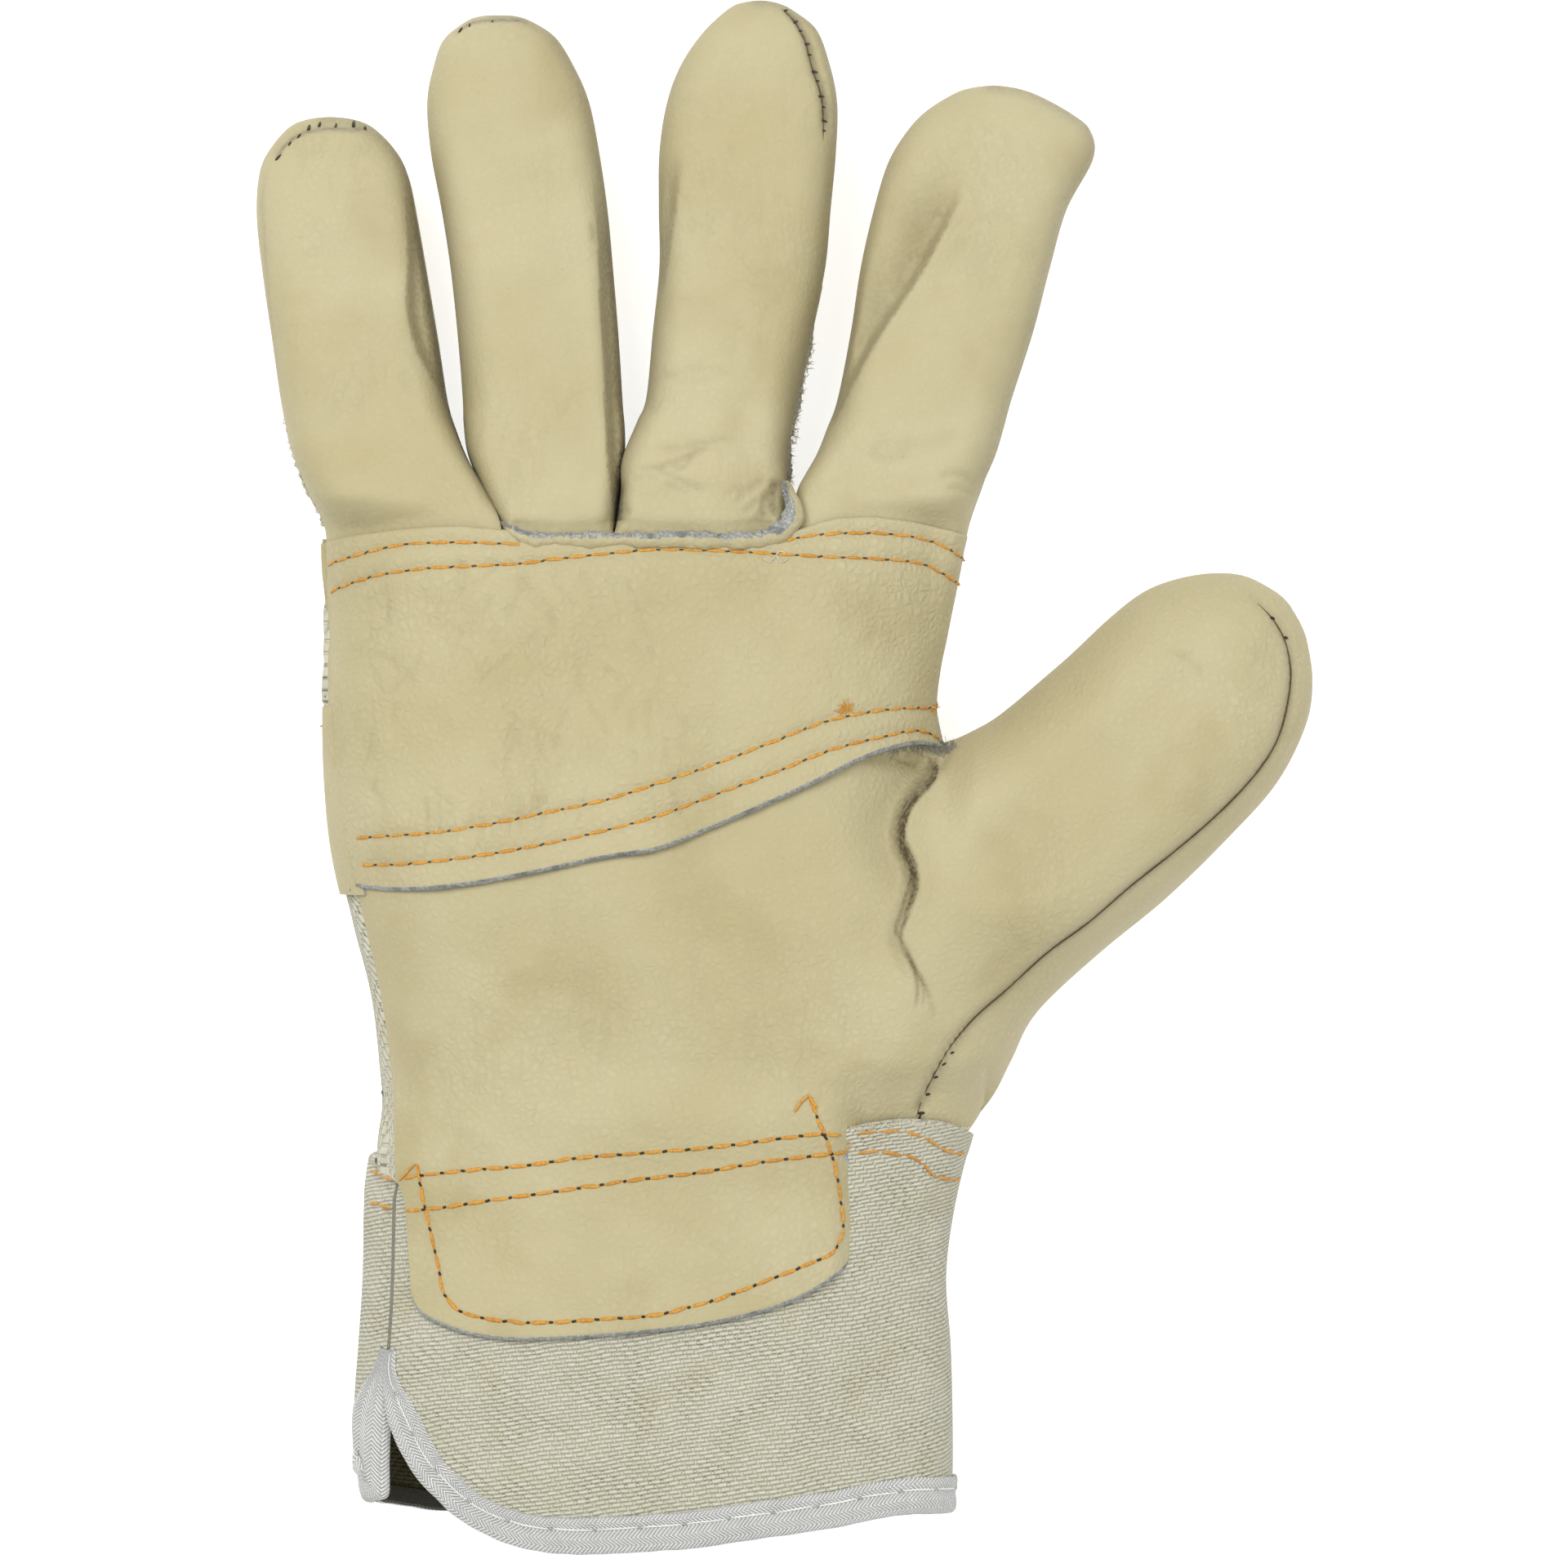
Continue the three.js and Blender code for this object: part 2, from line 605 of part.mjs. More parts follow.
// Rolled seam at the base of the ring and middle fingers
const weltStations = 14;
const weltSides = 6;
const weltPositions = [];
const weltIndices = [];
for (let i = 0; i <= weltStations; i += 1) {
  const t = i / weltStations;
  const x = mix(weltLeftX, weltRightX, t);
  const curl = Math.max(0, (t - 0.85) / 0.15);
  const y = 41.6 + 0.6 * (1 - Math.min(1, t * 8)) + 1.2 * curl;
  const surface = Math.max(handFront(x, y), handFront(x, y + 2));
  const z = surface + 0.75 + weltHalfHeight;
  for (let k = 0; k < weltSides; k += 1) {
    const angle = (2 * Math.PI * (k + 0.5)) / weltSides;
    weltPositions.push(x, y + weltHalfWidth * Math.cos(angle), z + weltHalfHeight * Math.sin(angle));
  }
}
for (let i = 0; i < weltStations; i += 1) {
  for (let k = 0; k < weltSides; k += 1) {
    const a = i * weltSides + k;
    const b = i * weltSides + ((k + 1) % weltSides);
    weltIndices.push(a, b, b + weltSides, a, b + weltSides, a + weltSides);
  }
}
for (let k = 1; k + 1 < weltSides; k += 1) {
  const end = weltStations * weltSides;
  weltIndices.push(0, k + 1, k, end, end + k, end + k + 1);
}
parts.push(meshOf("finger_base_seam", weltPositions, weltIndices, leather));

// Cuff: a tube of canvas, open down one side below the top of the slit
function cuffPoint(angle, y) {
  const s = cuffRowAt(y);
  const radians = (angle * Math.PI) / 180;
  const [c, n] = [Math.cos(radians), Math.sin(radians)];
  const roundness = n >= 0 ? palmRoundness : backRoundness;
  const power = 2 / roundness;
  const x = (s.leftX + s.rightX) / 2 + ((s.rightX - s.leftX) / 2) * Math.sign(c) * Math.abs(c) ** power;
  const height = n >= 0 ? s.topZ - s.seamZ : s.seamZ - s.backZ + restFlattening;
  const z = Math.max(s.seamZ + height * Math.sign(n) * Math.abs(n) ** power, s.backZ);
  return { x, y, z };
}
const cuffGrid = [];
for (let i = 0; i <= cuffUpperRows + cuffLowerRows; i += 1) {
  const upper = i <= cuffUpperRows;
  const part = upper ? 0 : (i - cuffUpperRows) / cuffLowerRows;
  const open = upper ? { front: 0, back: 0 } : rowAt(slit, "part", part, false);
  const row = [];
  for (let j = 0; j <= cuffColumns; j += 1) {
    const angle = mix(slitAngle - open.front, slitAngle - 360 + open.back, j / cuffColumns);
    const hemAngle = mix(slitAngle - 19, slitAngle - 360 + 42, j / cuffColumns);
    const hemY = rowAt(hem, "angle", hemAngle, false).y;
    const y = upper ? cuffUpperY[i] : mix(slitTopY, hemY, part);
    const p = cuffPoint(angle, y);
    row.push(point(p.x, p.y, p.z, ...(i === 0 ? ["y"] : [])));
  }
  cuffGrid.push(row);
}
parts.push(shell("cuff_canvas", [{ rows: cuffGrid, turned: true }], canvas, 0, -canvasWall));

// Tape folded over the hem and the slit: a U section carried along the edge of the cuff
const edgePath = [];
for (let i = cuffUpperRows + 1; i <= cuffUpperRows + cuffLowerRows; i += 1) edgePath.push([i, cuffColumns]);
for (let j = cuffColumns - 1; j >= 0; j -= 1) edgePath.push([cuffUpperRows + cuffLowerRows, j]);
for (let i = cuffUpperRows + cuffLowerRows - 1; i > cuffUpperRows; i -= 1) edgePath.push([i, 0]);

const cuffAt = ([i, j]) => cuffGrid[i][j].at;
function cuffNormal([i, j]) {
  const left = cuffGrid[i][Math.max(j - 1, 0)].at;
  const right = cuffGrid[i][Math.min(j + 1, cuffColumns)].at;
  const up = cuffGrid[Math.max(i - 1, 0)][j].at;
  const down = cuffGrid[Math.min(i + 1, cuffGrid.length - 1)][j].at;
  return right.clone().sub(left).cross(up.clone().sub(down)).normalize();
}
// Place on the cuff's outer face nearest to a point, with the direction the face looks in
const cuffFaces = [];
for (let i = 0; i + 1 < cuffGrid.length; i += 1) {
  for (let j = 0; j < cuffColumns; j += 1) {
    const [a, b, c, d] = [[i, j], [i, j + 1], [i + 1, j + 1], [i + 1, j]].map(cuffAt);
    cuffFaces.push(new THREE.Triangle(a, c, b), new THREE.Triangle(a, d, c));
  }
}
function nearestOnCuff(target) {
  const best = { distance: Infinity, at: new THREE.Vector3(), normal: new THREE.Vector3() };
  const at = new THREE.Vector3();
  for (const face of cuffFaces) {
    face.closestPointToPoint(target, at);
    const distance = at.distanceTo(target);
    if (distance >= best.distance || face.getArea() < 1e-3) continue;
    best.distance = distance;
    best.at.copy(at);
    face.getNormal(best.normal);
  }
  return best;
}

// Each corner of the U: on the edge or on the far side of the tape, inward and outward of it
const reach = tapeGap + tapeThickness;
const inner = canvasWall + tapeGap;
const tapeSection = table("far inward outward", [
  [1, 0, reach],
  [0, -reach, reach],
  [0, -reach, -inner - tapeThickness],
  [1, 0, -inner - tapeThickness],
  [1, 0, -inner],
  [0, -tapeGap, -inner],
  [0, -tapeGap, tapeGap],
  [1, 0, tapeGap],
]);
const tapePositions = [];
edgePath.forEach((place, k) => {
  const here = cuffAt(place);
  const normal = cuffNormal(place);
  const before = cuffAt(edgePath[Math.max(k - 1, 0)]);
  const after = cuffAt(edgePath[Math.min(k + 1, edgePath.length - 1)]);
  const along = after.clone().sub(before).normalize();
  const inward = along.clone().cross(normal).normalize();
  const far = nearestOnCuff(here.clone().addScaledVector(inward, tapeWidth));
  for (const s of tapeSection) {
    const p = s.far
      ? far.at.clone().addScaledVector(far.normal, s.outward)
      : here.clone().addScaledVector(inward, s.inward).addScaledVector(normal, s.outward);
    tapePositions.push(p.x, p.y, p.z);
  }
});
const sides = tapeSection.length;
const tapeIndices = [];
for (let i = 0; i + 1 < edgePath.length; i += 1) {
  for (let k = 0; k < sides; k += 1) {
    const a = i * sides + k;
    const b = i * sides + ((k + 1) % sides);
    tapeIndices.push(a, b + sides, b, a, a + sides, b + sides);
  }
}
const capFaces = [[0, 1, 6], [0, 6, 7], [1, 2, 5], [1, 5, 6], [2, 3, 4], [2, 4, 5]];
const tapeEnd = (edgePath.length - 1) * sides;
for (const [a, b, c] of capFaces) {
  tapeIndices.push(a, b, c);
  tapeIndices.push(tapeEnd + a, tapeEnd + c, tapeEnd + b);
}
parts.push(meshOf("cuff_binding", tapePositions, tapeIndices, tape));

const glove = new THREE.Group();
glove.name = "work_glove";
glove.position.set(0, centreY, 0);
glove.add(...parts);

export default glove;
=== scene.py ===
# Leather work glove with a canvas cuff, lying palm up. Tables are in millimetres, meshes in metres.
import math

import bpy
import numpy as np
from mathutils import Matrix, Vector


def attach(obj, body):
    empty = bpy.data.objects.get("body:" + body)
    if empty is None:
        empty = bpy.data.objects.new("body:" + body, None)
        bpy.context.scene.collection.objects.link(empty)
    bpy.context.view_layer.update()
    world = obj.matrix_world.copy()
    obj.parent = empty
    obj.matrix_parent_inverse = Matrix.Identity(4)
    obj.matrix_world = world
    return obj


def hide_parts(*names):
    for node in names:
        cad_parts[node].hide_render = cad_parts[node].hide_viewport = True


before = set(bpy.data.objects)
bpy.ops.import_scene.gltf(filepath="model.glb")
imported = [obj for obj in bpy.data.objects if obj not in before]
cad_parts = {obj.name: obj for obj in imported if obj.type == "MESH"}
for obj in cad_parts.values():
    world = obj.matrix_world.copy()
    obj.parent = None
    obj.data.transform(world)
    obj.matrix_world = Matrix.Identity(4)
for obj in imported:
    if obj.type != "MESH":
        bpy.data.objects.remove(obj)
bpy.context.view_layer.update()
centreY = -1.6  # the tables are measured from the middle of the photo, the frame from the box of the part
milli = 0.001  # metres in a millimetre

# Camera of the photo: straight above the glove, so a pixel can be laid on any height
photo = {"height": 950.0, "overX": 0.2, "overY": -0.7, "pixel": 0.139, "sharpAt": 15.0, "size": 1920}


def fromPhoto(points, surface=33.0):
    # Millimetre places of photo pixels on a surface; place and height depend on each other, so it goes round
    places = np.array(points, float)
    half = photo["size"] / 2
    z = np.full(len(places), 33.0)
    for _ in range(4):
        scale = photo["pixel"] * (photo["height"] - z) / (photo["height"] - photo["sharpAt"])
        x = photo["overX"] + (places[:, 0] - half) * scale
        y = photo["overY"] - (places[:, 1] - half) * scale
        z = surface(x, y) if callable(surface) else np.full(len(places), float(surface))
    return np.column_stack([x, y])


# Curves, lines and heights

def mix(a, b, t):
    return a + (b - a) * t


def smoothStep(t):
    t = np.clip(t, 0, 1)
    return t * t * (3 - 2 * t)


def smoothCurve(stops, values):
    # A function that runs smoothly through the values and stays level beyond the ends
    stops = np.asarray(stops, float)
    values = np.asarray(values, float)
    slopes = np.gradient(values, stops)

    def at(s):
        s = np.clip(s, stops[0], stops[-1])
        i = np.clip(np.searchsorted(stops, s, side="right") - 1, 0, len(stops) - 2)
        span = stops[i + 1] - stops[i]
        t = (s - stops[i]) / span
        t2 = t * t
        t3 = t2 * t
        start = (2 * t3 - 3 * t2 + 1) * values[i] + (t3 - 2 * t2 + t) * span * slopes[i]
        return start + (3 * t2 - 2 * t3) * values[i + 1] + (t3 - t2) * span * slopes[i + 1]

    return at


def smoothLine(points, step=0.8):
    p = np.asarray(points, float)
    walked = np.r_[0, np.cumsum(np.linalg.norm(np.diff(p, axis=0), axis=1))]
    s = np.linspace(0, walked[-1], max(3, int(walked[-1] / step) + 1))
    return np.column_stack([smoothCurve(walked, p[:, k])(s) for k in range(p.shape[1])])


def nearLine(x, y, line):
    # Distance to a line, the side of it, and how far along it the nearest place is
    px, py = np.ravel(x), np.ravel(y)
    best = np.full(px.shape, 1e9)
    side = np.zeros(px.shape)
    along = np.zeros(px.shape)
    for k in range(len(line) - 1):
        ax, ay = line[k]
        dx, dy = line[k + 1] - line[k]
        t = np.clip(((px - ax) * dx + (py - ay) * dy) / max(dx * dx + dy * dy, 1e-12), 0, 1)
        ox = px - ax - t * dx
        oy = py - ay - t * dy
        d = np.hypot(ox, oy)
        closer = d < best
        best[closer] = d[closer]
        side[closer] = np.sign(dx * oy - dy * ox)[closer]
        along[closer] = (k + t[closer]) / (len(line) - 1)
    shape = np.shape(x)
    return best.reshape(shape), side.reshape(shape), along.reshape(shape)


def depthInside(x, y, line, inner):
    # How far inside a boundary a place is: nothing on the line and beyond it
    far = inner * 400.0
    outline = np.vstack([line, [(far, line[-1, 1]), (far, line[0, 1])], line[:1]])
    inside = np.zeros(np.shape(x), bool)
    for (ax, ay), (bx, by) in zip(outline[:-1], outline[1:]):
        if ay != by:
            crossed = ((y < ay) != (y < by)) & (x < ax + (y - ay) * (bx - ax) / (by - ay))
            inside ^= crossed
    return np.where(inside, nearLine(x, y, line)[0], 0)


def rise(t, roundness=2.0):
    # From 0 at an edge to 1 inside it, round like a stuffed tube
    return (1 - (1 - np.clip(t, 0, 1)) ** roundness) ** (1 / roundness)


def softNoise(x, y, size, seed):
    # Smooth uneven relief between -1 and 1, made of waves in many directions
    rng = np.random.default_rng(seed)
    total = np.zeros(np.shape(x))
    for _ in range(14):
        turn = rng.uniform(0, 2 * math.pi)
        wave = 2 * math.pi / (size * rng.uniform(0.7, 1.5))
        total = total + np.sin(wave * (x * math.cos(turn) + y * math.sin(turn)) + rng.uniform(0, 6.3))
    return total / 6


# Folds, steps and dents that are pressed into a surface, with painted shade in the folds and below the steps

ledgeSpan = 2.4  # a ledge is followed this many times its reach


def fold(line, width, depth, dark=0.0, fadeIn=0.2, fadeOut=0.2):
    # dark is painted shade along the fold
    return {"kind": "fold", "line": smoothLine(line), "width": width, "depth": depth,
            "dark": dark, "fade": (fadeIn, fadeOut), "reach": width * 3.0}


def ledge(line, side, drop, soft, reach, dark=0.0, lip=0.3, fadeIn=0.15, fadeOut=0.15, broad=0.0):
    # The surface falls on one side of the line and comes back further out; dark is painted shade in the
    # corner, broad is painted shade over the lower side
    return {"kind": "ledge", "line": smoothLine(line), "side": side, "depth": drop, "width": soft,
            "dark": dark, "lip": lip, "fade": (fadeIn, fadeOut), "reach": reach * ledgeSpan,
            "broad": broad}


def dent(x, y, wide, high, turn, depth):
    # A shallow oval hollow
    return {"kind": "dent", "at": (x, y), "size": (wide, high), "turn": math.radians(turn),
            "depth": depth, "reach": 2.6 * max(wide, high)}


def relief(x, y, marks):
    # Height that the marks add, and how dark they are: the darkness is painted shade
    lift = np.zeros(np.shape(x))
    dark = np.zeros(np.shape(x))
    for mark in marks:
        reach = mark["reach"]
        if mark["kind"] == "dent":
            cx, cy = mark["at"]
            near = (abs(x - cx) < reach) & (abs(y - cy) < reach)
            c, s = math.cos(mark["turn"]), math.sin(mark["turn"])
            a = ((x[near] - cx) * c + (y[near] - cy) * s) / mark["size"][0]
            b = ((y[near] - cy) * c - (x[near] - cx) * s) / mark["size"][1]
            lift[near] -= mark["depth"] * np.exp(-(a * a + b * b))
            continue
        line = mark["line"]
        low, high = line.min(axis=0) - reach, line.max(axis=0) + reach
        near = (x > low[0]) & (x < high[0]) & (y > low[1]) & (y < high[1])
        if not near.any():
            continue
        d, side, along = nearLine(x[near], y[near], line)
        fade = smoothStep(along / max(mark["fade"][0], 1e-3))
        fade = fade * smoothStep((1 - along) / max(mark["fade"][1], 1e-3))
        if mark["kind"] == "fold":
            lift[near] -= mark["depth"] * fade * np.exp(-((d / mark["width"]) ** 2))
            dark[near] += mark["dark"] * fade * np.exp(-((d / (0.75 * mark["width"])) ** 2))
        else:
            below = side == mark["side"]
            step = np.exp(-((d / mark["width"]) ** 2))
            fall = (1 - step) * np.exp(-((d / (reach / ledgeSpan)) ** 2))
            lift[near] += fade * np.where(below, mark["lip"] * step - mark["depth"] * fall,
                                          mark["lip"] * np.exp(-((d / 2.5) ** 2)))
            # Painted shade: darkest in the corner, softer below it, a thin line above it
            shade = 0.55 * np.exp(-d / (0.5 * mark["width"]))
            shade += 0.45 * np.exp(-((d / (1.3 * mark["width"])) ** 2))
            thin = 0.6 * np.exp(-((d / 0.35) ** 2))
            # Painted shade over the whole lower side of a ledge, as on a side wall turned from the light
            wall = mark["broad"] * np.where(below, np.exp(-((d / (reach / ledgeSpan)) ** 4)), 0)
            dark[near] += fade * (mark["dark"] * np.where(below, shade, thin) + wall)
    return lift, np.clip(dark, 0, 1)


# Outline and heights of the hand, taken over from the solids

handRows = np.array([  # y, left, right, seam height, top, back
    (50.0, -80.9, 33.8, 14.5, 30.8, 1.8), (43.1, -78.0, 31.6, 14.5, 31.4, 1.8),
    (35.4, -77.5, 30.2, 14.5, 32.6, 1.8), (24.3, -76.9, 28.0, 14.5, 33.8, 1.8),
    (13.2, -77.4, 26.1, 14.5, 35.2, 1.8), (6.3, -77.4, 27.3, 14.5, 36.0, 1.8),
    (-0.7, -77.1, 37.7, 14.6, 37.0, 1.8), (-11.8, -76.0, 47.5, 14.7, 38.2, 1.8),
    (-24.3, -73.2, 49.1, 14.8, 39.0, 1.8), (-36.8, -70.1, 45.4, 14.9, 38.6, 1.8),
    (-48.0, -68.7, 39.4, 15.0, 37.8, 1.8), (-54.9, -68.2, 35.5, 15.0, 37.2, 2.0),
    (-61.9, -69.0, 32.2, 15.0, 36.9, 2.4), (-68.0, -69.2, 30.0, 15.0, 36.5, 2.6)])[::-1]
handLeft = smoothCurve(handRows[:, 0], handRows[:, 1])
handSeam = smoothCurve(handRows[:, 0], handRows[:, 3])
handTop = smoothCurve(handRows[:, 0], handRows[:, 4])
handBackZ = smoothCurve(handRows[:, 0], handRows[:, 5])
indexSide = smoothCurve([6.3, 13.2, 24.3, 35.4, 43.1, 50.0, 60.0],
                        [27.3, 26.1, 28.0, 30.2, 31.6, 33.8, 37.6])

# Ribs of the thumb fan out from the crotch: inner x and y, outer x and y
thumbRibs = np.array([
    (27.3, 6.3, 22.5, -61.0), (28.6, 6.7, 26.5, -61.2), (30.4, 7.4, 30.0, -60.8),
    (33.0, 8.7, 32.9, -57.6), (35.8, 10.3, 36.1, -53.4), (39.3, 13.0, 39.0, -47.5),
    (43.6, 16.7, 43.2, -39.6), (49.1, 21.5, 53.7, -29.6), (55.0, 27.1, 64.8, -20.4),
    (60.7, 31.6, 75.3, -10.1), (66.2, 33.9, 83.6, -0.7), (72.5, 35.0, 88.5, 9.0),
    (78.0, 34.6, 89.7, 16.3), (82.6, 32.4, 88.9, 22.9), (85.2, 30.4, 87.9, 26.0),
    (86.7, 28.2, 86.7, 28.2)])
thumbCrotch = (27.3, 6.3)
thumbHeel = (22.5, -61.0)

ribIndex = np.arange(len(thumbRibs))
ribCurves = [smoothCurve(ribIndex, thumbRibs[:, k]) for k in range(4)]

leftY = np.linspace(60, -68, 80)
leftLine = np.column_stack([handLeft(leftY) - np.maximum(leftY - 50, 0) * 0.4, leftY])
indexY = np.linspace(60, 6.3, 40)
outTo = np.linspace(0, len(thumbRibs) - 1, 150)[1:]
backFrom = np.linspace(len(thumbRibs) - 1, 3, 150)[1:]
rightLine = np.vstack([np.column_stack([indexSide(indexY), indexY]),
                       np.column_stack([ribCurves[0](outTo), ribCurves[1](outTo)]),
                       np.column_stack([ribCurves[2](backFrom), ribCurves[3](backFrom)]),
                       [(30.6, -61.0), (29.4, -68.0)]])

thumbAxis = np.array([0.718, 0.696])
thumbTop = smoothCurve([0, 20, 40, 55, 68, 79], [38.4, 36.6, 35.2, 34.0, 32.0, 30.0])
thumbSeam = smoothCurve([0, 20, 45, 79], [14.9, 15.6, 18.0, 20.0])
thumbBackZ = smoothCurve([0, 20, 45, 65, 79], [1.8, 2.4, 4.2, 7.0, 10.0])

cuffRows = np.array([  # y, left, right, seam height, top, back
    (-54.0, -68.0, 34.2, 15.0, 37.6, 0.9), (-57.0, -68.6, 33.4, 15.0, 37.3, 0.8),
    (-60.0, -69.4, 32.2, 15.0, 37.0, 0.8), (-64.5, -70.6, 31.1, 15.6, 36.6, 0.9),
    (-68.4, -71.0, 30.1, 16.3, 36.6, 1.1), (-73.0, -71.1, 29.1, 17.0, 36.8, 1.3),
    (-84.1, -71.2, 27.7, 18.5, 37.8, 1.5), (-95.2, -71.8, 28.4, 19.8, 39.0, 1.5),
    (-106.3, -72.4, 28.7, 20.6, 40.2, 1.5), (-117.5, -71.2, 28.7, 21.0, 41.0, 1.5),
    (-130.0, -67.5, 28.0, 21.2, 41.6, 1.5)])[::-1]
cuffLeft, cuffRight, cuffSeam, cuffTopZ, cuffBackZ = [
    smoothCurve(cuffRows[:, 0], cuffRows[:, k]) for k in range(1, 6)]


# How far in from each seam the full height is reached, and how round the way there is
frontFull = {"left": 27, "right": 25, "thumb": 13, "round": 1.9}
backFull = {"left": 24, "right": 22, "thumb": 13, "round": 2.4}


def cuffFront(x, y):
    across = (x - cuffLeft(y)) / (cuffRight(y) - cuffLeft(y))
    side = abs(2 * np.clip(across, 0, 1) - 1)
    height = np.maximum(0, 1 - side ** 2.5) ** 0.4
    return cuffSeam(y) + (cuffTopZ(y) - cuffSeam(y)) * height + cuffWaves(x, y)


def cuffWaves(x, y):
    lower = smoothStep((-62 - y) / 14)
    return lower * (0.45 * softNoise(x, y, 26, 4) + 0.14 * softNoise(x, y, 9, 5))


def handFields(x, y):
    along = (x - 29.7) * thumbAxis[0] + (y + 27) * thumbAxis[1]
    onThumb = smoothStep((along - 1) / 18) * smoothStep((x - 24) / 9)
    toLeft = depthInside(x, y, leftLine, 1)
    toRight = depthInside(x, y, rightLine, -1)
    return along, onThumb, toLeft, toRight


def palmBase(x, y):
    along, onThumb, toLeft, toRight = handFields(x, y)
    seam = mix(handSeam(y), thumbSeam(along), onThumb)
    top = mix(handTop(y), thumbTop(along), onThumb)
    fullRight = mix(frontFull["right"], frontFull["thumb"], onThumb)
    z = (top - seam) * rise(toLeft / frontFull["left"], frontFull["round"])
    z = seam + z * rise(toRight / fullRight, frontFull["round"])
    onWrist = smoothStep((-46 - y) / 12)
    overCuff = 1.9 - 3.8 * smoothStep((x - 8) / 6) - 3.6 * smoothStep((-64.9 - x) / 2)
    return mix(z, cuffFront(x, y) + overCuff, onWrist)


def handBack(x, y):
    along, onThumb, toLeft, toRight = handFields(x, y)
    seam = mix(handSeam(y), thumbSeam(along), onThumb)
    low = mix(handBackZ(y), thumbBackZ(along), onThumb)
    fullRight = mix(backFull["right"], backFull["thumb"], onThumb)
    drop = (seam - low + 1.0) * rise(toLeft / backFull["left"], backFull["round"])
    drop = drop * rise(toRight / fullRight, backFull["round"])
    return np.maximum(seam - drop, low)


# Folds of the palm and the thumb, read from the photo
thumbFold = fromPhoto([(1152, 908), (1150, 930), (1149, 948), (1128, 973), (1112, 999), (1108, 1024),
                       (1120, 1054), (1124, 1084), (1114, 1115), (1103, 1145), (1112, 1170), (1124, 1196),
                       (1134, 1216)], 36)
thumbSeamLine = fromPhoto([(1492, 704), (1508, 711), (1525, 723), (1541, 738), (1558, 756), (1573, 781),
                           (1581, 817), (1576, 867), (1561, 913), (1541, 943), (1505, 983), (1475, 1011),
                           (1435, 1044), (1384, 1084), (1334, 1127), (1283, 1165), (1233, 1211),
                           (1192, 1246), (1162, 1281), (1142, 1317), (1126, 1355), (1122, 1368)], 29)
# The dark values of these folds and ledges are painted shade, deepest in the thumb fold
palmMarks = [
    ledge(thumbFold, -1, 4.8, 1.8, 8.5, dark=0.92, lip=0.9, fadeIn=0.12, fadeOut=0.6, broad=0.08),
    fold(fromPhoto([(1146, 938), (1140, 962), (1118, 982), (1106, 1006), (1104, 1030), (1112, 1054),
                    (1119, 1080), (1112, 1108), (1100, 1136)], 36), 0.4, 0.5, dark=0.55),
    fold(fromPhoto([(1128, 962), (1110, 984), (1101, 1010), (1102, 1034), (1110, 1064)], 36), 0.45, 0.3,
         dark=0.25),
    fold(fromPhoto([(1120, 1060), (1112, 1086), (1104, 1112), (1096, 1140), (1102, 1158)], 36), 0.4, 0.35,
         dark=0.35),
    fold(fromPhoto([(1118, 1112), (1104, 1138), (1102, 1148), (1112, 1168), (1122, 1196), (1124, 1212),
                    (1120, 1244)], 37), 0.42, 0.4, dark=0.42),
    fold(fromPhoto([(1098, 1148), (1102, 1158), (1116, 1180), (1128, 1200), (1138, 1220),
                    (1142, 1250)], 37), 0.42, 0.4, dark=0.4),
    fold(fromPhoto([(1124, 1190), (1131, 1212), (1130, 1236)], 37), 0.4, 0.25, dark=0.25),
    fold(fromPhoto([(1174, 905), (1163, 925), (1150, 948)], 33), 0.7, 0.8, 0.3),
    fold(fromPhoto([(1136, 918), (1142, 934), (1150, 946)], 34), 0.45, 0.4, 0.35),
    fold(fromPhoto([(1050, 926), (1090, 934), (1130, 936), (1150, 930)], 35), 1.2, 0.6, 0.16),
    fold(thumbSeamLine, 0.85, 1.3, dark=0.45, fadeIn=0.2, fadeOut=0.02),
    ledge(thumbSeamLine, 1, 1.3, 0.9, 3.4, dark=0.0, lip=0.5, fadeIn=0.1, fadeOut=0.05),
    fold(fromPhoto([(1420, 745), (1452, 790), (1468, 850)], 34), 2.6, 0.35),
    fold(fromPhoto([(1440, 800), (1462, 812), (1478, 830)], 34), 0.7, 0.22, 0.1),
    fold(fromPhoto([(1425, 795), (1447, 800), (1470, 800)], 34), 0.6, 0.18, 0.08),
    fold(fromPhoto([(1300, 905), (1350, 915), (1390, 950)], 35), 1.6, 0.25),
    dent(12, -30, 16, 24, 20, 0.9), dent(-35, -34, 22, 10, -10, 0.6), dent(48, 2, 12, 7, 45, 0.5),
]
patchMarks = [
    dent(-51, 27, 8, 6, 20, 0.9), dent(-33, 15, 7, 10, -15, 1.0), dent(-37, 2, 6, 9, 5, 0.8),
    dent(7, 28, 16, 7, 10, 0.6), dent(20, 22, 6, 10, 0, 0.5), dent(-60, 5, 9, 13, 0, 0.4),
]


def palmTop(x, y):
    lift, dark = relief(x, y, palmMarks)
    soft = 0.22 * softNoise(x, y, 19, 1) + 0.07 * softNoise(x, y, 5.5, 2)
    inside = smoothStep(nearLine(x, y, rightLine)[0] / 6) * smoothStep(nearLine(x, y, leftLine)[0] / 6)
    return palmBase(x, y) + (lift + soft) * np.maximum(inside, 0.25), dark


# Mesh making

def mm(points):
    return (np.asarray(points, float) + (0, centreY, 0)) * milli


def sheetOf(x, y, z, dark=None, cloth=None):
    points = np.stack([x, y, z], axis=-1)
    return {"at": points, "dark": np.zeros(x.shape) if dark is None else dark,
            "cloth": np.stack([x, y, z * 0], axis=-1) if cloth is None else cloth,
            "raw": np.zeros((x.shape[0] - 1, x.shape[1] - 1), bool)}


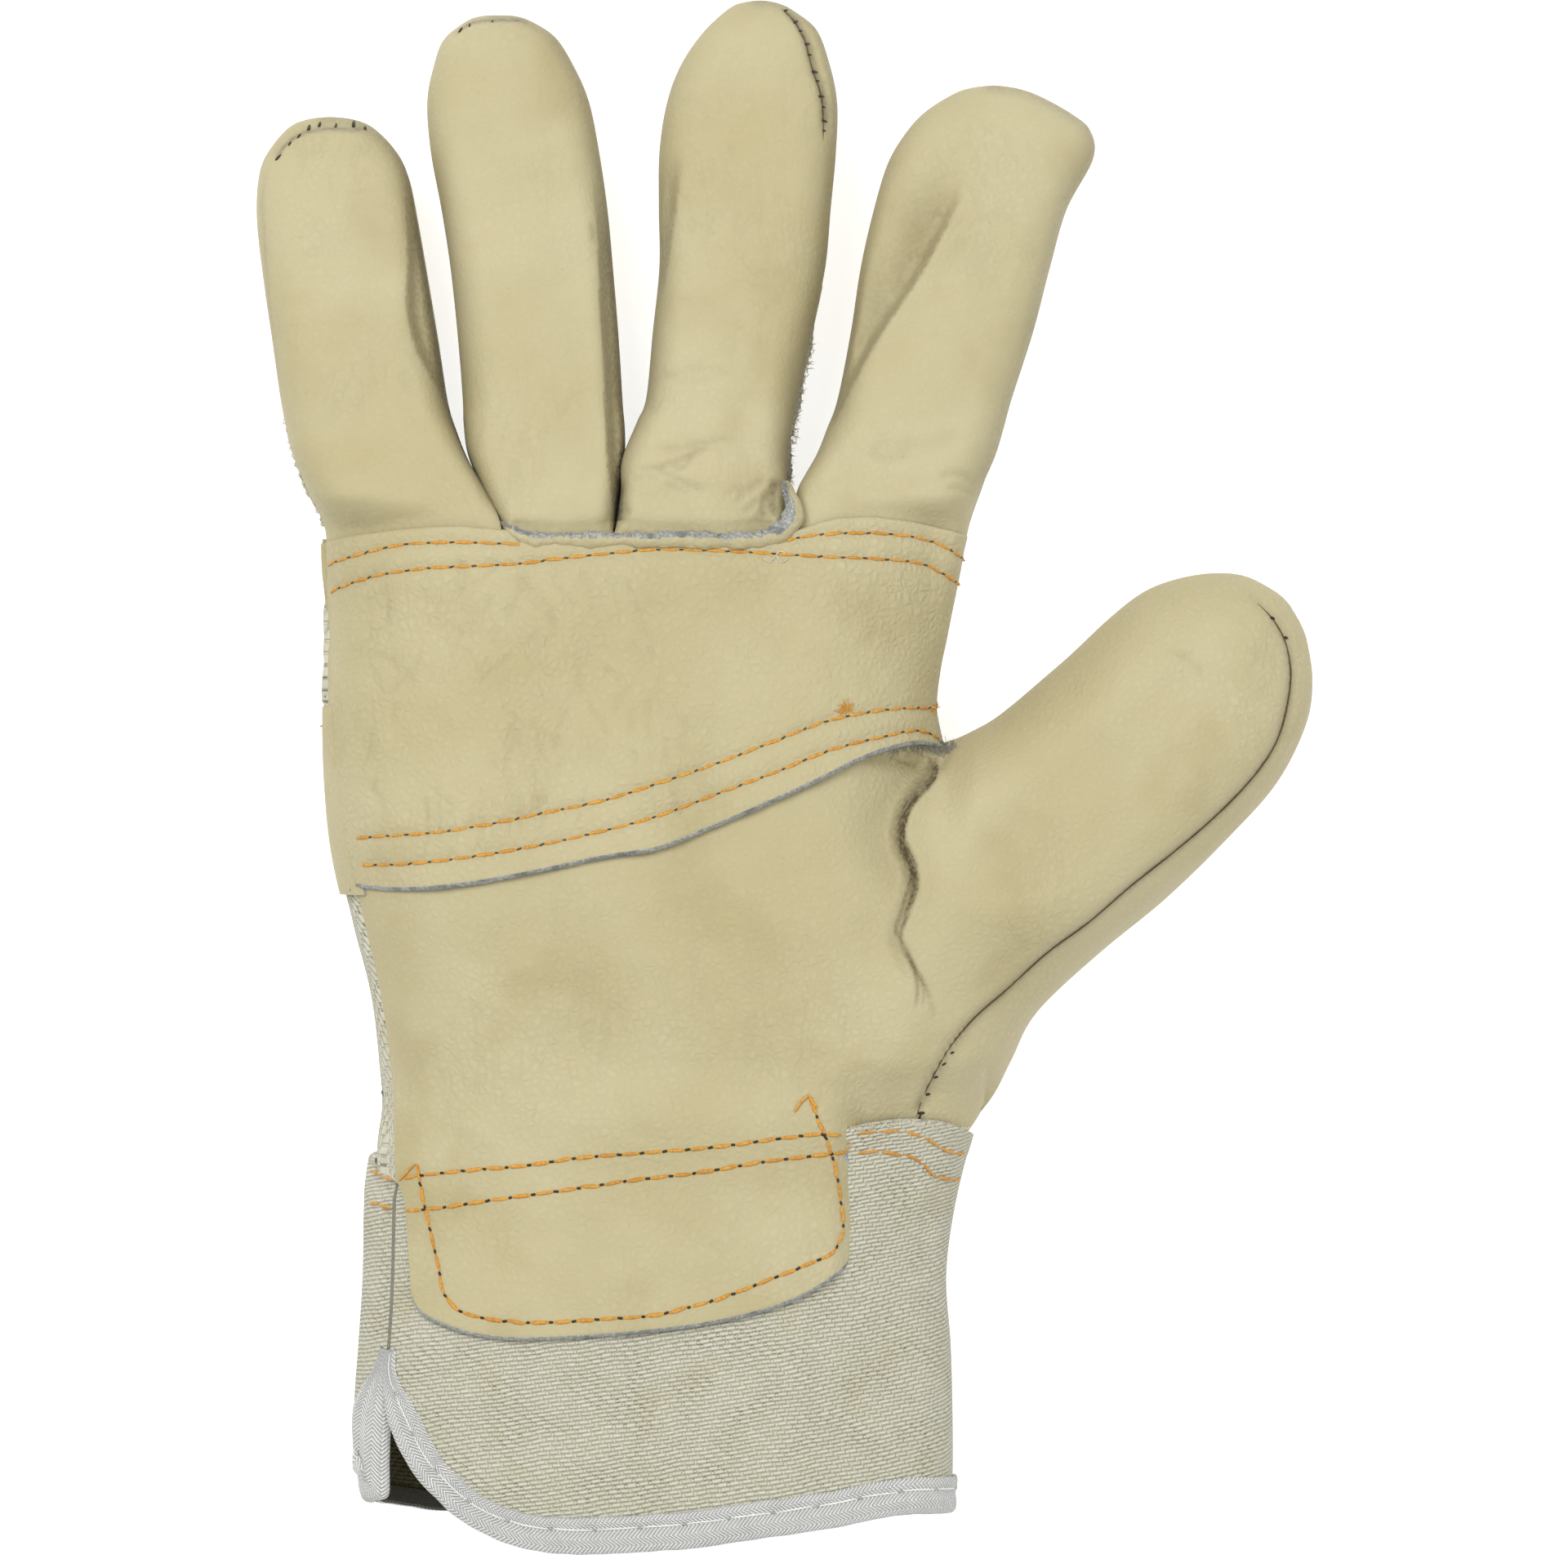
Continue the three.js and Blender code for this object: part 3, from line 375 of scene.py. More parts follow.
def sideLast(grid, side):
    # The grid turned so that one of its sides is the last row
    if side in ("left", "right"):
        grid = np.swapaxes(grid, 0, 1)
    return grid[::-1] if side in ("first", "left") else grid


def turnedBack(grid, side):
    if side in ("first", "left"):
        grid = grid[::-1]
    return np.swapaxes(grid, 0, 1) if side in ("left", "right") else grid


def withEdge(sheet, side, steps, raw):
    # Rows beyond an edge of a sheet: a raw cut face that leans out, or a turned edge
    turned = sideLast(sheet["at"], side)
    edge, before = turned[-1], turned[-3]
    out = edge - before
    out[:, 2] = 0
    out /= np.maximum(np.linalg.norm(out, axis=1, keepdims=True), 1e-9)
    layers = [edge + out * away + np.array([0, 0, -down]) for away, down in steps]
    grown = {}
    for key in ("at", "dark", "cloth"):
        grid = sideLast(sheet[key], side)
        extra = layers if key == "at" else [grid[-1]] * len(steps)
        grown[key] = turnedBack(np.concatenate([grid, np.array(extra)], axis=0), side)
    isRaw = sideLast(sheet["raw"], side)
    isRaw = np.vstack([isRaw, np.full((len(steps), isRaw.shape[1]), raw)])
    grown["raw"] = turnedBack(isRaw, side)
    return grown


def makePiece(name, sheets, thickness, finishes, coreX=None, coreZ=17.0):
    # Joins sheets where their points meet, turns the faces away from the core and gives them a thickness
    points = np.concatenate([s["at"].reshape(-1, 3) for s in sheets])
    dark = np.concatenate([s["dark"].ravel() for s in sheets])
    cloth = np.concatenate([s["cloth"].reshape(-1, 3) for s in sheets])
    _, first, ids = np.unique(np.round(points * 100).astype(int), axis=0, return_index=True,
                              return_inverse=True)
    ids = ids.ravel()
    points, dark, cloth = points[first], dark[first], cloth[first]
    faces = []
    slots = []
    start = 0
    for s in sheets:
        rows, columns = s["at"].shape[:2]
        grid = ids[start:start + rows * columns].reshape(rows, columns)
        start += rows * columns
        a, b, c, d = grid[:-1, :-1], grid[:-1, 1:], grid[1:, 1:], grid[1:, :-1]
        quads = np.stack([a, b, c, d], axis=-1).reshape(-1, 4)
        across = points[quads[:, 2]] - points[quads[:, 0]]
        along = points[quads[:, 3]] - points[quads[:, 1]]
        normal = np.cross(across, along)
        out = points[quads].mean(axis=1) - (0, 0, coreZ)
        out[:, 1] = 0
        out[:, 0] = 0 if coreX is None else out[:, 0] - coreX
        if (normal * out).sum() < 0:
            quads = quads[:, ::-1]
        for quad, isRaw in zip(quads.tolist(), s["raw"].ravel().tolist()):
            corners = list(dict.fromkeys(quad))
            if len(corners) < 3:
                continue
            faces.append(corners)
            slots.append(1 if isRaw else 0)
    mesh = bpy.data.meshes.new(name)
    mesh.from_pydata(mm(points).tolist(), [], faces)
    mesh.polygons.foreach_set("material_index", slots)
    # The painted shade of folds and steps, and the dirt on the finger edges, for the leather
    mesh.attributes.new("shadeAndDirt", "FLOAT", "POINT").data.foreach_set("value", dark)
    mesh.attributes.new("cloth", "FLOAT_VECTOR", "POINT").data.foreach_set("vector", cloth.ravel())
    for finish in finishes:
        mesh.materials.append(finish)
    obj = bpy.data.objects.new(name, mesh)
    bpy.context.collection.objects.link(obj)
    wall = obj.modifiers.new("wall", "SOLIDIFY")
    wall.thickness = thickness * milli
    wall.offset = -1
    wall.material_offset = 2
    wall.material_offset_rim = 1
    return settle(obj)


def settle(obj, sharpAbove=48):
    # Applies the modifiers, smooths the shading and lets the piece ride on the body
    ready = obj.evaluated_get(bpy.context.evaluated_depsgraph_get())
    mesh = bpy.data.meshes.new_from_object(ready)
    obj.modifiers.clear()
    obj.data = mesh
    mesh.name = obj.name
    mesh.validate()
    mesh.polygons.foreach_set("use_smooth", [True] * len(mesh.polygons))
    mesh.set_sharp_from_angle(angle=math.radians(sharpAbove))
    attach(obj, "root")
    return obj


def plainPiece(name, points, faces, finishes, slots):
    mesh = bpy.data.meshes.new(name)
    mesh.from_pydata(mm(points).tolist(), [], faces)
    mesh.polygons.foreach_set("material_index", slots)
    for finish in finishes:
        mesh.materials.append(finish)
    obj = bpy.data.objects.new(name, mesh)
    bpy.context.collection.objects.link(obj)
    return settle(obj, 60)


# Materials

class Wire:
    # A socket of a material, so that shader maths can be written as Python

    def __init__(self, tree, socket=None):
        self.tree = tree
        self.socket = socket

    def node(self, kind, settings=None, inputs=None, out=0):
        made = self.tree.nodes.new(kind)
        for key, value in (settings or {}).items():
            setattr(made, key, value)
        for key, value in (inputs or {}).items():
            socket = made.inputs[key]
            if isinstance(value, Wire):
                self.tree.links.new(value.socket, socket)
            else:
                socket.default_value = value
        return Wire(self.tree, made.outputs[out])

    def maths(self, operation, *others):
        inputs = dict(enumerate((self,) + others))
        return self.node("ShaderNodeMath", {"operation": operation}, inputs)

    def __add__(self, other):
        return self.maths("ADD", other)

    def __sub__(self, other):
        return self.maths("SUBTRACT", other)

    def __mul__(self, other):
        return self.maths("MULTIPLY", other)

    def __truediv__(self, other):
        return self.maths("DIVIDE", other)

    def __pow__(self, other):
        return self.maths("POWER", other)

    def __radd__(self, other):
        return self.maths("ADD", other)

    def __rmul__(self, other):
        return self.maths("MULTIPLY", other)

    def __rsub__(self, other):
        return self.node("ShaderNodeMath", {"operation": "SUBTRACT"}, {0: other, 1: self})

    def clamped(self):
        return self.node("ShaderNodeClamp", {}, {"Value": self})

    def ranged(self, low, high, toLow=0.0, toHigh=1.0):
        inputs = {"Value": self, "From Min": low, "From Max": high, "To Min": toLow, "To Max": toHigh}
        return self.node("ShaderNodeMapRange", {"interpolation_type": "SMOOTHSTEP"}, inputs)

    def vector(self, operation, other=None, scale=None):
        inputs = {0: self}
        if other is not None:
            inputs[1] = other
        if scale is not None:
            inputs["Scale"] = scale
        return self.node("ShaderNodeVectorMath", {"operation": operation}, inputs)

    def firstTwo(self):
        # The x and the y of a vector
        parts = self.node("ShaderNodeSeparateXYZ", {}, {0: self})
        return parts, Wire(self.tree, parts.socket.node.outputs[1])

    def blend(self, base, over):
        # This wire is the amount of over on base
        return self.node("ShaderNodeMix", {"data_type": "RGBA"}, {0: self, 6: base, 7: over}, 2)


def tone(red, green, blue):
    # Linear colour from the 0 to 255 numbers of a colour picker
    parts = [v / 255 for v in (red, green, blue)]
    return tuple(v / 12.92 if v <= 0.04045 else ((v + 0.055) / 1.055) ** 2.4 for v in parts) + (1.0,)


def startMaterial(name, **constants):
    material = bpy.data.materials.new(name)
    material.use_nodes = True
    shader = material.node_tree.nodes["Principled BSDF"]
    for key, value in constants.items():
        shader.inputs[key].default_value = value
    return material, shader, Wire(material.node_tree)


def feed(material, shader, **wires):
    for key, wire in wires.items():
        material.node_tree.links.new(wire.socket, shader.inputs[key])


def noise(wire, place, size, detail=2.0, rough=0.5, distortion=0.0):
    return wire.node("ShaderNodeTexNoise", {}, {"Vector": place, "Scale": 1 / size, "Detail": detail,
                                               "Roughness": rough, "Distortion": distortion})


def cells(wire, place, size, feature, **inputs):
    inputs = {"Vector": place, "Scale": 1 / size, **inputs}
    return wire.node("ShaderNodeTexVoronoi", {"feature": feature}, inputs)


# fold is the colour of the painted shade in creases
leatherLook = {
    "main": (178, 168, 129), "light": (187, 178, 143), "shade": (165, 153, 111), "warm": (172, 150, 98),
    "fold": (58, 44, 18), "grey": (136, 131, 110), "grain": 1.4, "relief": 0.00029, "roughness": 0.6,
}


def leatherFinish(name, look, grainAmount=1.0):
    # Pebbled grain, fine wrinkles, cloudy colour, and painted shade where the mesh has a crease or step,
    # with dirt along the finger edges
    material, shader, wire = startMaterial(name, **{"Specular IOR Level": 0.35, "Sheen Weight": 0.04})
    place = wire.node("ShaderNodeTexCoord", out=3).vector("SCALE", scale=1 / milli)
    wobble = wire.node("ShaderNodeTexNoise", {}, {"Vector": place, "Scale": 0.3}, 1)
    bent = place.vector("ADD", wobble.vector("SCALE", scale=1.6))
    pebble = cells(wire, bent, look["grain"], "DISTANCE_TO_EDGE").ranged(0.0, 0.4)
    small = cells(wire, bent, look["grain"] * 0.42, "SMOOTH_F1", Smoothness=0.6)
    stretched = bent.node("ShaderNodeMapping", {}, {"Vector": bent, "Rotation": (0, 0, 0.5),
                                                    "Scale": (1, 0.32, 1)})
    patches = noise(wire, place, 24, 2.0).ranged(0.38, 0.64)
    broad = noise(wire, place, 9, 3.0)
    wrinkled = noise(wire, stretched, 5.0, 3.0, 0.55, 1.2)
    wrinkle = (wrinkled - 0.5).maths("ABSOLUTE").ranged(0.0, 0.05)
    grain = pebble * (0.38 + patches * 0.12) - small * 0.25 + wrinkle * patches * 0.1
    height = grain * grainAmount + broad * 0.6
    fine = noise(wire, place, 0.35, 2.0)
    normal = wire.node("ShaderNodeBump", {}, {"Strength": 0.5, "Distance": look["relief"],
                                              "Height": height + fine * 0.1})
    shadeAndDirt = wire.node("ShaderNodeAttribute", {"attribute_name": "shadeAndDirt"}, out=2)
    shadeAndDirt = (shadeAndDirt * noise(wire, place, 0.8, 3.0).ranged(0.35, 0.65, 0.72, 1.12)).clamped()
    big = noise(wire, place, 34, 2.0).ranged(0.36, 0.66)
    stain = noise(wire, place, 15, 4.0, 0.6).ranged(0.55, 0.78)
    colour = (big * 0.75).blend(tone(*look["main"]), tone(*look["light"]))
    colour = (noise(wire, place, 21, 3.0).ranged(0.5, 0.72) * 0.5).blend(colour, tone(*look["shade"]))
    colour = (stain * 0.2).blend(colour, tone(*look["warm"]))
    colour = ((1 - pebble) * (0.1 + patches * 0.1) * grainAmount).blend(colour, tone(*look["shade"]))
    colour = ((1 - wrinkle) * patches * 0.1).blend(colour, tone(*look["grey"]))
    specks = noise(wire, place, 1.1, 1.0).ranged(0.73, 0.8)
    colour = (specks * 0.18).blend(colour, tone(*look["grey"]))
    # Painted shade in creases and below steps, with some dirt on the finger edges
    colour = (shadeAndDirt * 0.9).blend(colour, tone(*look["fold"]))
    rough = look["roughness"] + (1 - pebble) * 0.08 + broad * 0.1
    feed(material, shader, **{"Base Color": colour, "Roughness": rough, "Normal": normal})
    return material


rawLook = {"main": (140, 142, 136), "light": (184, 186, 180), "dark": (98, 103, 104)}


def rawFinish(name, look):
    # Split edge and inside of the leather: grey fibres
    material, shader, wire = startMaterial(name, **{"Specular IOR Level": 0.15, "Sheen Weight": 0.25})
    place = wire.node("ShaderNodeTexCoord", out=3).vector("SCALE", scale=1 / milli)
    fibres = noise(wire, place, 0.45, 3.0, 0.7)
    clumps = noise(wire, place, 2.6, 2.0)
    colour = fibres.ranged(0.4, 0.66).blend(tone(*look["main"]), tone(*look["light"]))
    colour = (clumps.ranged(0.5, 0.7) * 0.7).blend(colour, tone(*look["dark"]))
    normal = wire.node("ShaderNodeBump", {}, {"Strength": 0.9, "Distance": 0.0004, "Height": fibres})
    feed(material, shader, **{"Base Color": colour, "Roughness": 0.85 + fibres * 0.12, "Normal": normal})
    return material


canvasLook = {"yarn": (193, 190, 168), "light": (210, 208, 190), "hole": (88, 82, 60),
              "warm": (192, 183, 152), "row": 0.7, "dash": 2.1, "step": 0.37}


def canvasFinish(name, look, turn=-0.14):
    # Weft faced twill: rows of short dashes with a pin hole at each end
    material, shader, wire = startMaterial(name, **{"Specular IOR Level": 0.12, "Sheen Weight": 0.12})
    cloth = wire.node("ShaderNodeAttribute", {"attribute_name": "cloth"}, out=1)
    slub = noise(wire, cloth, 5.0, 3.0, 0.6)
    cloth = cloth.node("ShaderNodeMapping", {}, {"Vector": cloth, "Rotation": (0, 0, turn)})
    drift = noise(wire, cloth, 9.0, 2.0) - 0.5
    s, t = cloth.firstTwo()
    rowPlace = (t + drift * 1.1) / look["row"]
    row = rowPlace.maths("FLOOR")
    inRow = rowPlace - row
    jitter = row.node("ShaderNodeTexWhiteNoise", {"noise_dimensions": "1D"}, {"W": row})
    dashPlace = s / look["dash"] + row * look["step"] + jitter * 0.16 + drift * 0.9
    inDash = dashPlace - dashPlace.maths("FLOOR")
    across = ((inRow - 0.5) * 2).maths("ABSOLUTE")
    yarn = (1 - across ** 2.2).clamped()
    end = ((inDash - 0.5) * 2).maths("ABSOLUTE").ranged(0.58, 0.9)
    height = yarn * (1 - end * 0.95)
    cell = dashPlace.maths("FLOOR") * 7.31 + row * 3.17
    single = cell.node("ShaderNodeTexWhiteNoise", {"noise_dimensions": "1D"}, {"W": cell})
    opened = noise(wire, cloth, 7.0, 2.0).ranged(0.38, 0.62, 0.35, 1.0)
    hole = (end * across.ranged(0.15, 0.8) * single.ranged(0.1, 0.9, 0.35, 1.0) * opened).clamped()
    colour = (single * 0.55 + slub * 0.3).clamped().blend(tone(*look["yarn"]), tone(*look["light"]))
    colour = (noise(wire, cloth, 12.0, 3.0).ranged(0.52, 0.75) * 0.5).blend(colour, tone(*look["warm"]))
    # Darker between the rows of yarn and in the pin holes: painted shade
    colour = ((1 - yarn) * 0.2).blend(colour, tone(*look["hole"]))
    colour = (hole * 0.95).blend(colour, tone(*look["hole"]))
    fuzz = noise(wire, cloth, 0.3, 2.0)
    normal = wire.node("ShaderNodeBump", {}, {"Strength": 0.85, "Distance": 0.0004,
                                              "Height": height + slub * 0.4 + fuzz * 0.18})
    feed(material, shader, **{"Base Color": colour, "Roughness": 0.86 + fuzz * 0.1, "Normal": normal})
    return material


tapeLook = {"main": (248, 248, 244), "shade": (199, 200, 196), "pitch": 0.72}


def tapeFinish(name, look):
    # Herringbone tape: ribs that turn back every few millimetres
    material, shader, wire = startMaterial(name, **{"Specular IOR Level": 0.2, "Sheen Weight": 0.15})
    cloth = wire.node("ShaderNodeAttribute", {"attribute_name": "cloth"}, out=1)
    s, t = cloth.firstTwo()
    zig = ((t / 2.4 - (t / 2.4).maths("FLOOR") - 0.5) * 2).maths("ABSOLUTE")
    wale = (s + zig * 1.5 + noise(wire, cloth, 4.0) * 0.5) / look["pitch"]
    rib = ((wale - wale.maths("FLOOR") - 0.5) * 2).maths("ABSOLUTE").ranged(0.15, 0.95)
    cross = (t / 0.34 - (t / 0.34).maths("FLOOR") - 0.5).maths("ABSOLUTE") * 2
    fuzz = noise(wire, cloth, 0.35, 3.0, 0.6)
    soft = noise(wire, cloth, 3.2, 2.0)
    # Darker in the grooves between the ribs: painted shade
    colour = (rib * 0.72 + soft.ranged(0.45, 0.7) * 0.15).blend(tone(*look["main"]), tone(*look["shade"]))
    normal = wire.node("ShaderNodeBump", {}, {"Strength": 0.9, "Distance": 0.0006,
                                              "Height": (1 - rib) + cross * 0.25 + fuzz * 0.5})
    feed(material, shader, **{"Base Color": colour, "Roughness": 0.8 + fuzz * 0.12, "Normal": normal})
    return material


def threadFinish(name, main, shade):
    # Spun thread or loose fibres, a little uneven in colour
    material, shader, wire = startMaterial(name, **{"Specular IOR Level": 0.3, "Sheen Weight": 0.1})
    place = wire.node("ShaderNodeTexCoord", out=3).vector("SCALE", scale=1 / milli)
    ply = noise(wire, place, 0.4, 2.0)
    longWay = noise(wire, place, 7.0, 1.0)
    colour = (ply.ranged(0.4, 0.65) * 0.6).blend(tone(*main), tone(*shade))
    colour = (longWay.ranged(0.45, 0.65) * 0.35).blend(colour, tone(*shade))
    normal = wire.node("ShaderNodeBump", {}, {"Strength": 0.6, "Distance": 0.0002, "Height": ply})
    feed(material, shader, **{"Base Color": colour, "Roughness": 0.6 + ply * 0.2, "Normal": normal})
    return material


leather = leatherFinish("pale grain leather", leatherLook)
leatherSmooth = leatherFinish("smooth finger leather", leatherLook, 0.55)
leatherPatch = leatherFinish("pebbled patch leather", {**leatherLook, "relief": 0.0004, "grain": 1.5}, 1.2)
rawEdge = rawFinish("raw leather edge", rawLook)
inside = rawFinish("inside of the leather", {"main": (138, 134, 118), "light": (164, 160, 144),
                                             "dark": (104, 100, 84)})
canvas = canvasFinish("canvas", canvasLook)
# A dark copy of the canvas for its inner faces: painted shade of the glove's inside
canvasInsideShade = canvasFinish("shaded inside of the canvas", {**canvasLook, "yarn": (84, 78, 54),
                                                     "light": (98, 92, 66),
                                                     "hole": (34, 30, 18), "warm": (76, 66, 38)})
tape = tapeFinish("white tape", tapeLook)
# A dark copy of the tape for the half inside the cuff: painted shade
tapeInsideShade = tapeFinish("shaded inside of the tape", {**tapeLook, "main": (92, 88, 70), "shade": (58, 54, 40)})
fibre = threadFinish("grey suede fibres", (152, 149, 138), (98, 92, 78))
clothFibre = threadFinish("canvas fibres", (212, 209, 194), (180, 175, 154))
# Short grey threads at the dimples of the tape: painted shade
dimpleShade = threadFinish("painted shade of the tape's dimples", (170, 168, 158), (146, 144, 132))
orangeThread = threadFinish("orange thread", (210, 154, 62), (172, 110, 36))
# Dark thread for the stitch marks at the tips, and dark dots at the wrist's needle holes that are painted
# shade
darkThreadAndHoleShade = threadFinish("dark thread and needle hole shade", (58, 46, 26), (36, 28, 16))
# Short dark threads at the needle holes of the patch: painted shade of the holes
needleHoleShade = threadFinish("painted shade of the needle holes", (86, 74, 50), (56, 48, 30))
seamThread = threadFinish("sunk seam thread", (92, 74, 42), (62, 48, 24))
whiteThread = threadFinish("white thread", (236, 236, 234), (206, 206, 204))
leatherSet = [leather, rawEdge, inside]
fingerSet = [leatherSmooth, rawEdge, inside]
canvasSet = [canvas, canvas, canvasInsideShade]
print("Materials ready")


# Palm leather: the palm, the front of the thumb and the tongue are one piece

palm = {"wall": 1.6, "topY": 41.0, "rowsUnderPatch": 20, "rows": 134, "columns": 158, "ribs": 104,
        "tongueRows": 44}
seamLeftLine = fromPhoto([(390, 640), (391, 690), (396, 740), (400, 800), (402, 862), (405, 900),
                          (411, 940), (419, 985), (427, 1030), (434, 1065), (439, 1092), (446, 1120),
                          (455, 1160), (464, 1200), (472, 1245), (478, 1290), (483, 1345), (486, 1400),
                          (488, 1445)], 22)
seamLeft = smoothCurve(seamLeftLine[::-1, 1], seamLeftLine[::-1, 0])
patchEdge = smoothCurve([0, .17, .25, .37, .46, .54, .62, .68, .73, .8, .86, .91, .96, 1],
                        [-17.6, -17.7, -16.7, -14.4, -12.4, -11, -7.9, -5.3, -2.9, 0.7, 3.8, 5.8, 6.6,
                         6.3])


def rightOf(y):
    # Right end of a row: the side of the index finger, and below it the root of the thumb
    down = np.clip((thumbCrotch[1] - y) / (thumbCrotch[1] - thumbHeel[1]), 0, 1)
    root = mix(thumbCrotch[0], thumbHeel[0], down)
    return np.where(y > thumbCrotch[1], indexSide(y), root)


def handGrid(across, rowParts, topY, leftAt, wristLeftY=-67.2):
    # Rows run from the top line to the patch edge (parts below 1) and on to the wrist (parts up to 2)
    across, parts = np.meshgrid(across, rowParts)
    edge = patchEdge(across)
    wrist = mix(wristLeftY, thumbHeel[1], across)
    y = np.where(parts <= 1, mix(topY, edge, parts), mix(edge, wrist, parts - 1))
    return mix(leftAt(y), rightOf(y), across), y


lowerParts = 1 + np.linspace(0, 1, palm["rows"])
rowParts = np.r_[np.linspace(0, 1, palm["rowsUnderPatch"])[:-1], lowerParts]
# Columns stand closer together at the thumb fold and at the left seam
fine = np.linspace(0, 1, 2000)
crowd = np.cumsum(1 + 2.2 * np.exp(-(((fine - 0.965) / 0.04) ** 2)) + 0.6 * np.exp(-((fine / 0.05) ** 2)))
spread = np.interp(np.linspace(crowd[0], crowd[-1], palm["columns"]), crowd, fine)
palmX, palmY = handGrid(spread, rowParts, palm["topY"], seamLeft)
palmZ, palmDark = palmTop(palmX, palmY)

ribMiddle = (thumbRibs[:, :2] + thumbRibs[:, 2:]) / 2
ribWalk = np.r_[0, np.cumsum(np.linalg.norm(np.diff(ribMiddle, axis=0), axis=1) + 1.2)]
ribPlace = np.interp(np.linspace(0, ribWalk[-1], palm["ribs"]), ribWalk, ribIndex)
ribSides = np.column_stack([curve(ribPlace) for curve in ribCurves])
ribAcross = np.linspace(0, 1, palm["rows"])
ribCosine = mix(ribAcross, (1 - np.cos(np.pi * ribAcross)) / 2, 0.6)
ribBlend = smoothStep(ribPlace / 3.0)[:, None]
ribPart = mix(ribAcross[None, :], ribCosine[None, :], ribBlend)
thumbX = mix(ribSides[:, 0:1], ribSides[:, 2:3], ribPart)
thumbY = mix(ribSides[:, 1:2], ribSides[:, 3:4], ribPart)
thumbX[0], thumbY[0] = palmX[-palm["rows"]:, -1], palmY[-palm["rows"]:, -1]
thumbZ, thumbDark = palmTop(thumbX, thumbY)

tongueLeft = smoothLine([(-64.6, -67.0), (-63.4, -70), (-62.8, -76), (-62.0, -85.5)])
tongueRight = smoothLine([(9.3, -61.3), (11.6, -66), (12.7, -72.5), (12.4, -76.5)])
tongueEnd = smoothLine([(-62.0, -85.5), (-60.8, -87.9), (-56.5, -90.2), (-51.4, -91.7), (-44.8, -92.4),
                        (-38.9, -92.3), (-30.1, -91.7), (-22, -91), (-13.2, -89.9), (-5.9, -88.4),
                        (2.2, -85.7), (7.4, -82.9), (10.8, -80.2), (12.4, -76.5)])


def resample(line, parts):
    # The line again, with a point at each of these parts of its length
    walked = np.r_[0, np.cumsum(np.linalg.norm(np.diff(line, axis=0), axis=1))]
    places = parts * walked[-1]
    return np.column_stack([np.interp(places, walked, line[:, k]) for k in range(line.shape[1])])


def between(top, bottom, left, right, rows):
    # Grid between four lines
    walked = np.r_[0, np.cumsum(np.linalg.norm(np.diff(top, axis=0), axis=1))]
    u = (walked / walked[-1])[None, :, None]
    v = np.linspace(0, 1, rows)[:, None, None]
    upper, lower = top[None], resample(bottom, u.ravel())[None]
    leftSide, rightSide = resample(left, v.ravel())[:, None], resample(right, v.ravel())[:, None]
    corners = mix(mix(upper[:, :1], upper[:, -1:], u), mix(lower[:, :1], lower[:, -1:], u), v)
    return mix(upper, lower, v) + mix(leftSide, rightSide, u) - corners


wristRow = np.column_stack([palmX[-1], palmY[-1]])
onTongue = np.where((wristRow[:, 0] >= -65.2) & (wristRow[:, 0] <= 9.4))[0]
tongueTop = wristRow[onTongue]
tongueLeft[0], tongueRight[0] = tongueTop[0], tongueTop[-1]
tongueGrid = between(tongueTop, tongueEnd, tongueLeft, tongueRight, palm["tongueRows"])
tongueX, tongueY = tongueGrid[..., 0], tongueGrid[..., 1]
tongueZ, tongueDark = palmTop(tongueX, tongueY)
rawSteps = [(0.2, 0.1), (0.55, 0.5), (0.75, 1.0), (0.7, 1.5)]
tongueSheet = withEdge(sheetOf(tongueX, tongueY, tongueZ, tongueDark), "last", rawSteps, True)
tongueSheet = withEdge(tongueSheet, "right", rawSteps, True)

glovePalm = makePiece("palm_and_thumb_leather", [
    sheetOf(palmX, palmY, palmZ, palmDark), sheetOf(thumbX, thumbY, thumbZ, thumbDark), tongueSheet,
], palm["wall"], leatherSet)
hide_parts("palm_leather")
print("Palm, thumb and tongue done")


# Patch across the palm

patch = {"wall": 1.2, "gap": 0.35, "height": 1.5, "columns": 226, "rows": 112, "wrinkles": 52}
patchTopLine = [(-77.6, 39.8), (-70.1, 40.9), (-62.3, 41.6), (-54.4, 41.9), (-46.6, 41.3), (-35.3, 40.0),
                (-21.6, 39.7), (-8, 39.7), (2, 41.2), (8.3, 43.1), (14.5, 43.5), (24, 42.4), (31.2, 40.7)]
patchBottomLine = [(-71.6, -17.4), (-65.5, -17.9), (-59.7, -17.7), (-51, -16.7), (-38.7, -14.4),
                   (-29.3, -12.4), (-20.7, -11), (-12.8, -7.9), (-6.6, -5.3), (-1.2, -2.9), (6.6, 0.7),
                   (12.8, 3.8), (18.3, 5.8), (23.9, 6.6), (27.0, 5.9)]
patchRightLine = [(31.2, 40.7), (29.9, 35.4), (28.9, 30.0), (27.9, 24.3), (26.8, 18.5), (26.2, 13.2),
                  (26.3, 9.4), (27.0, 5.9)]
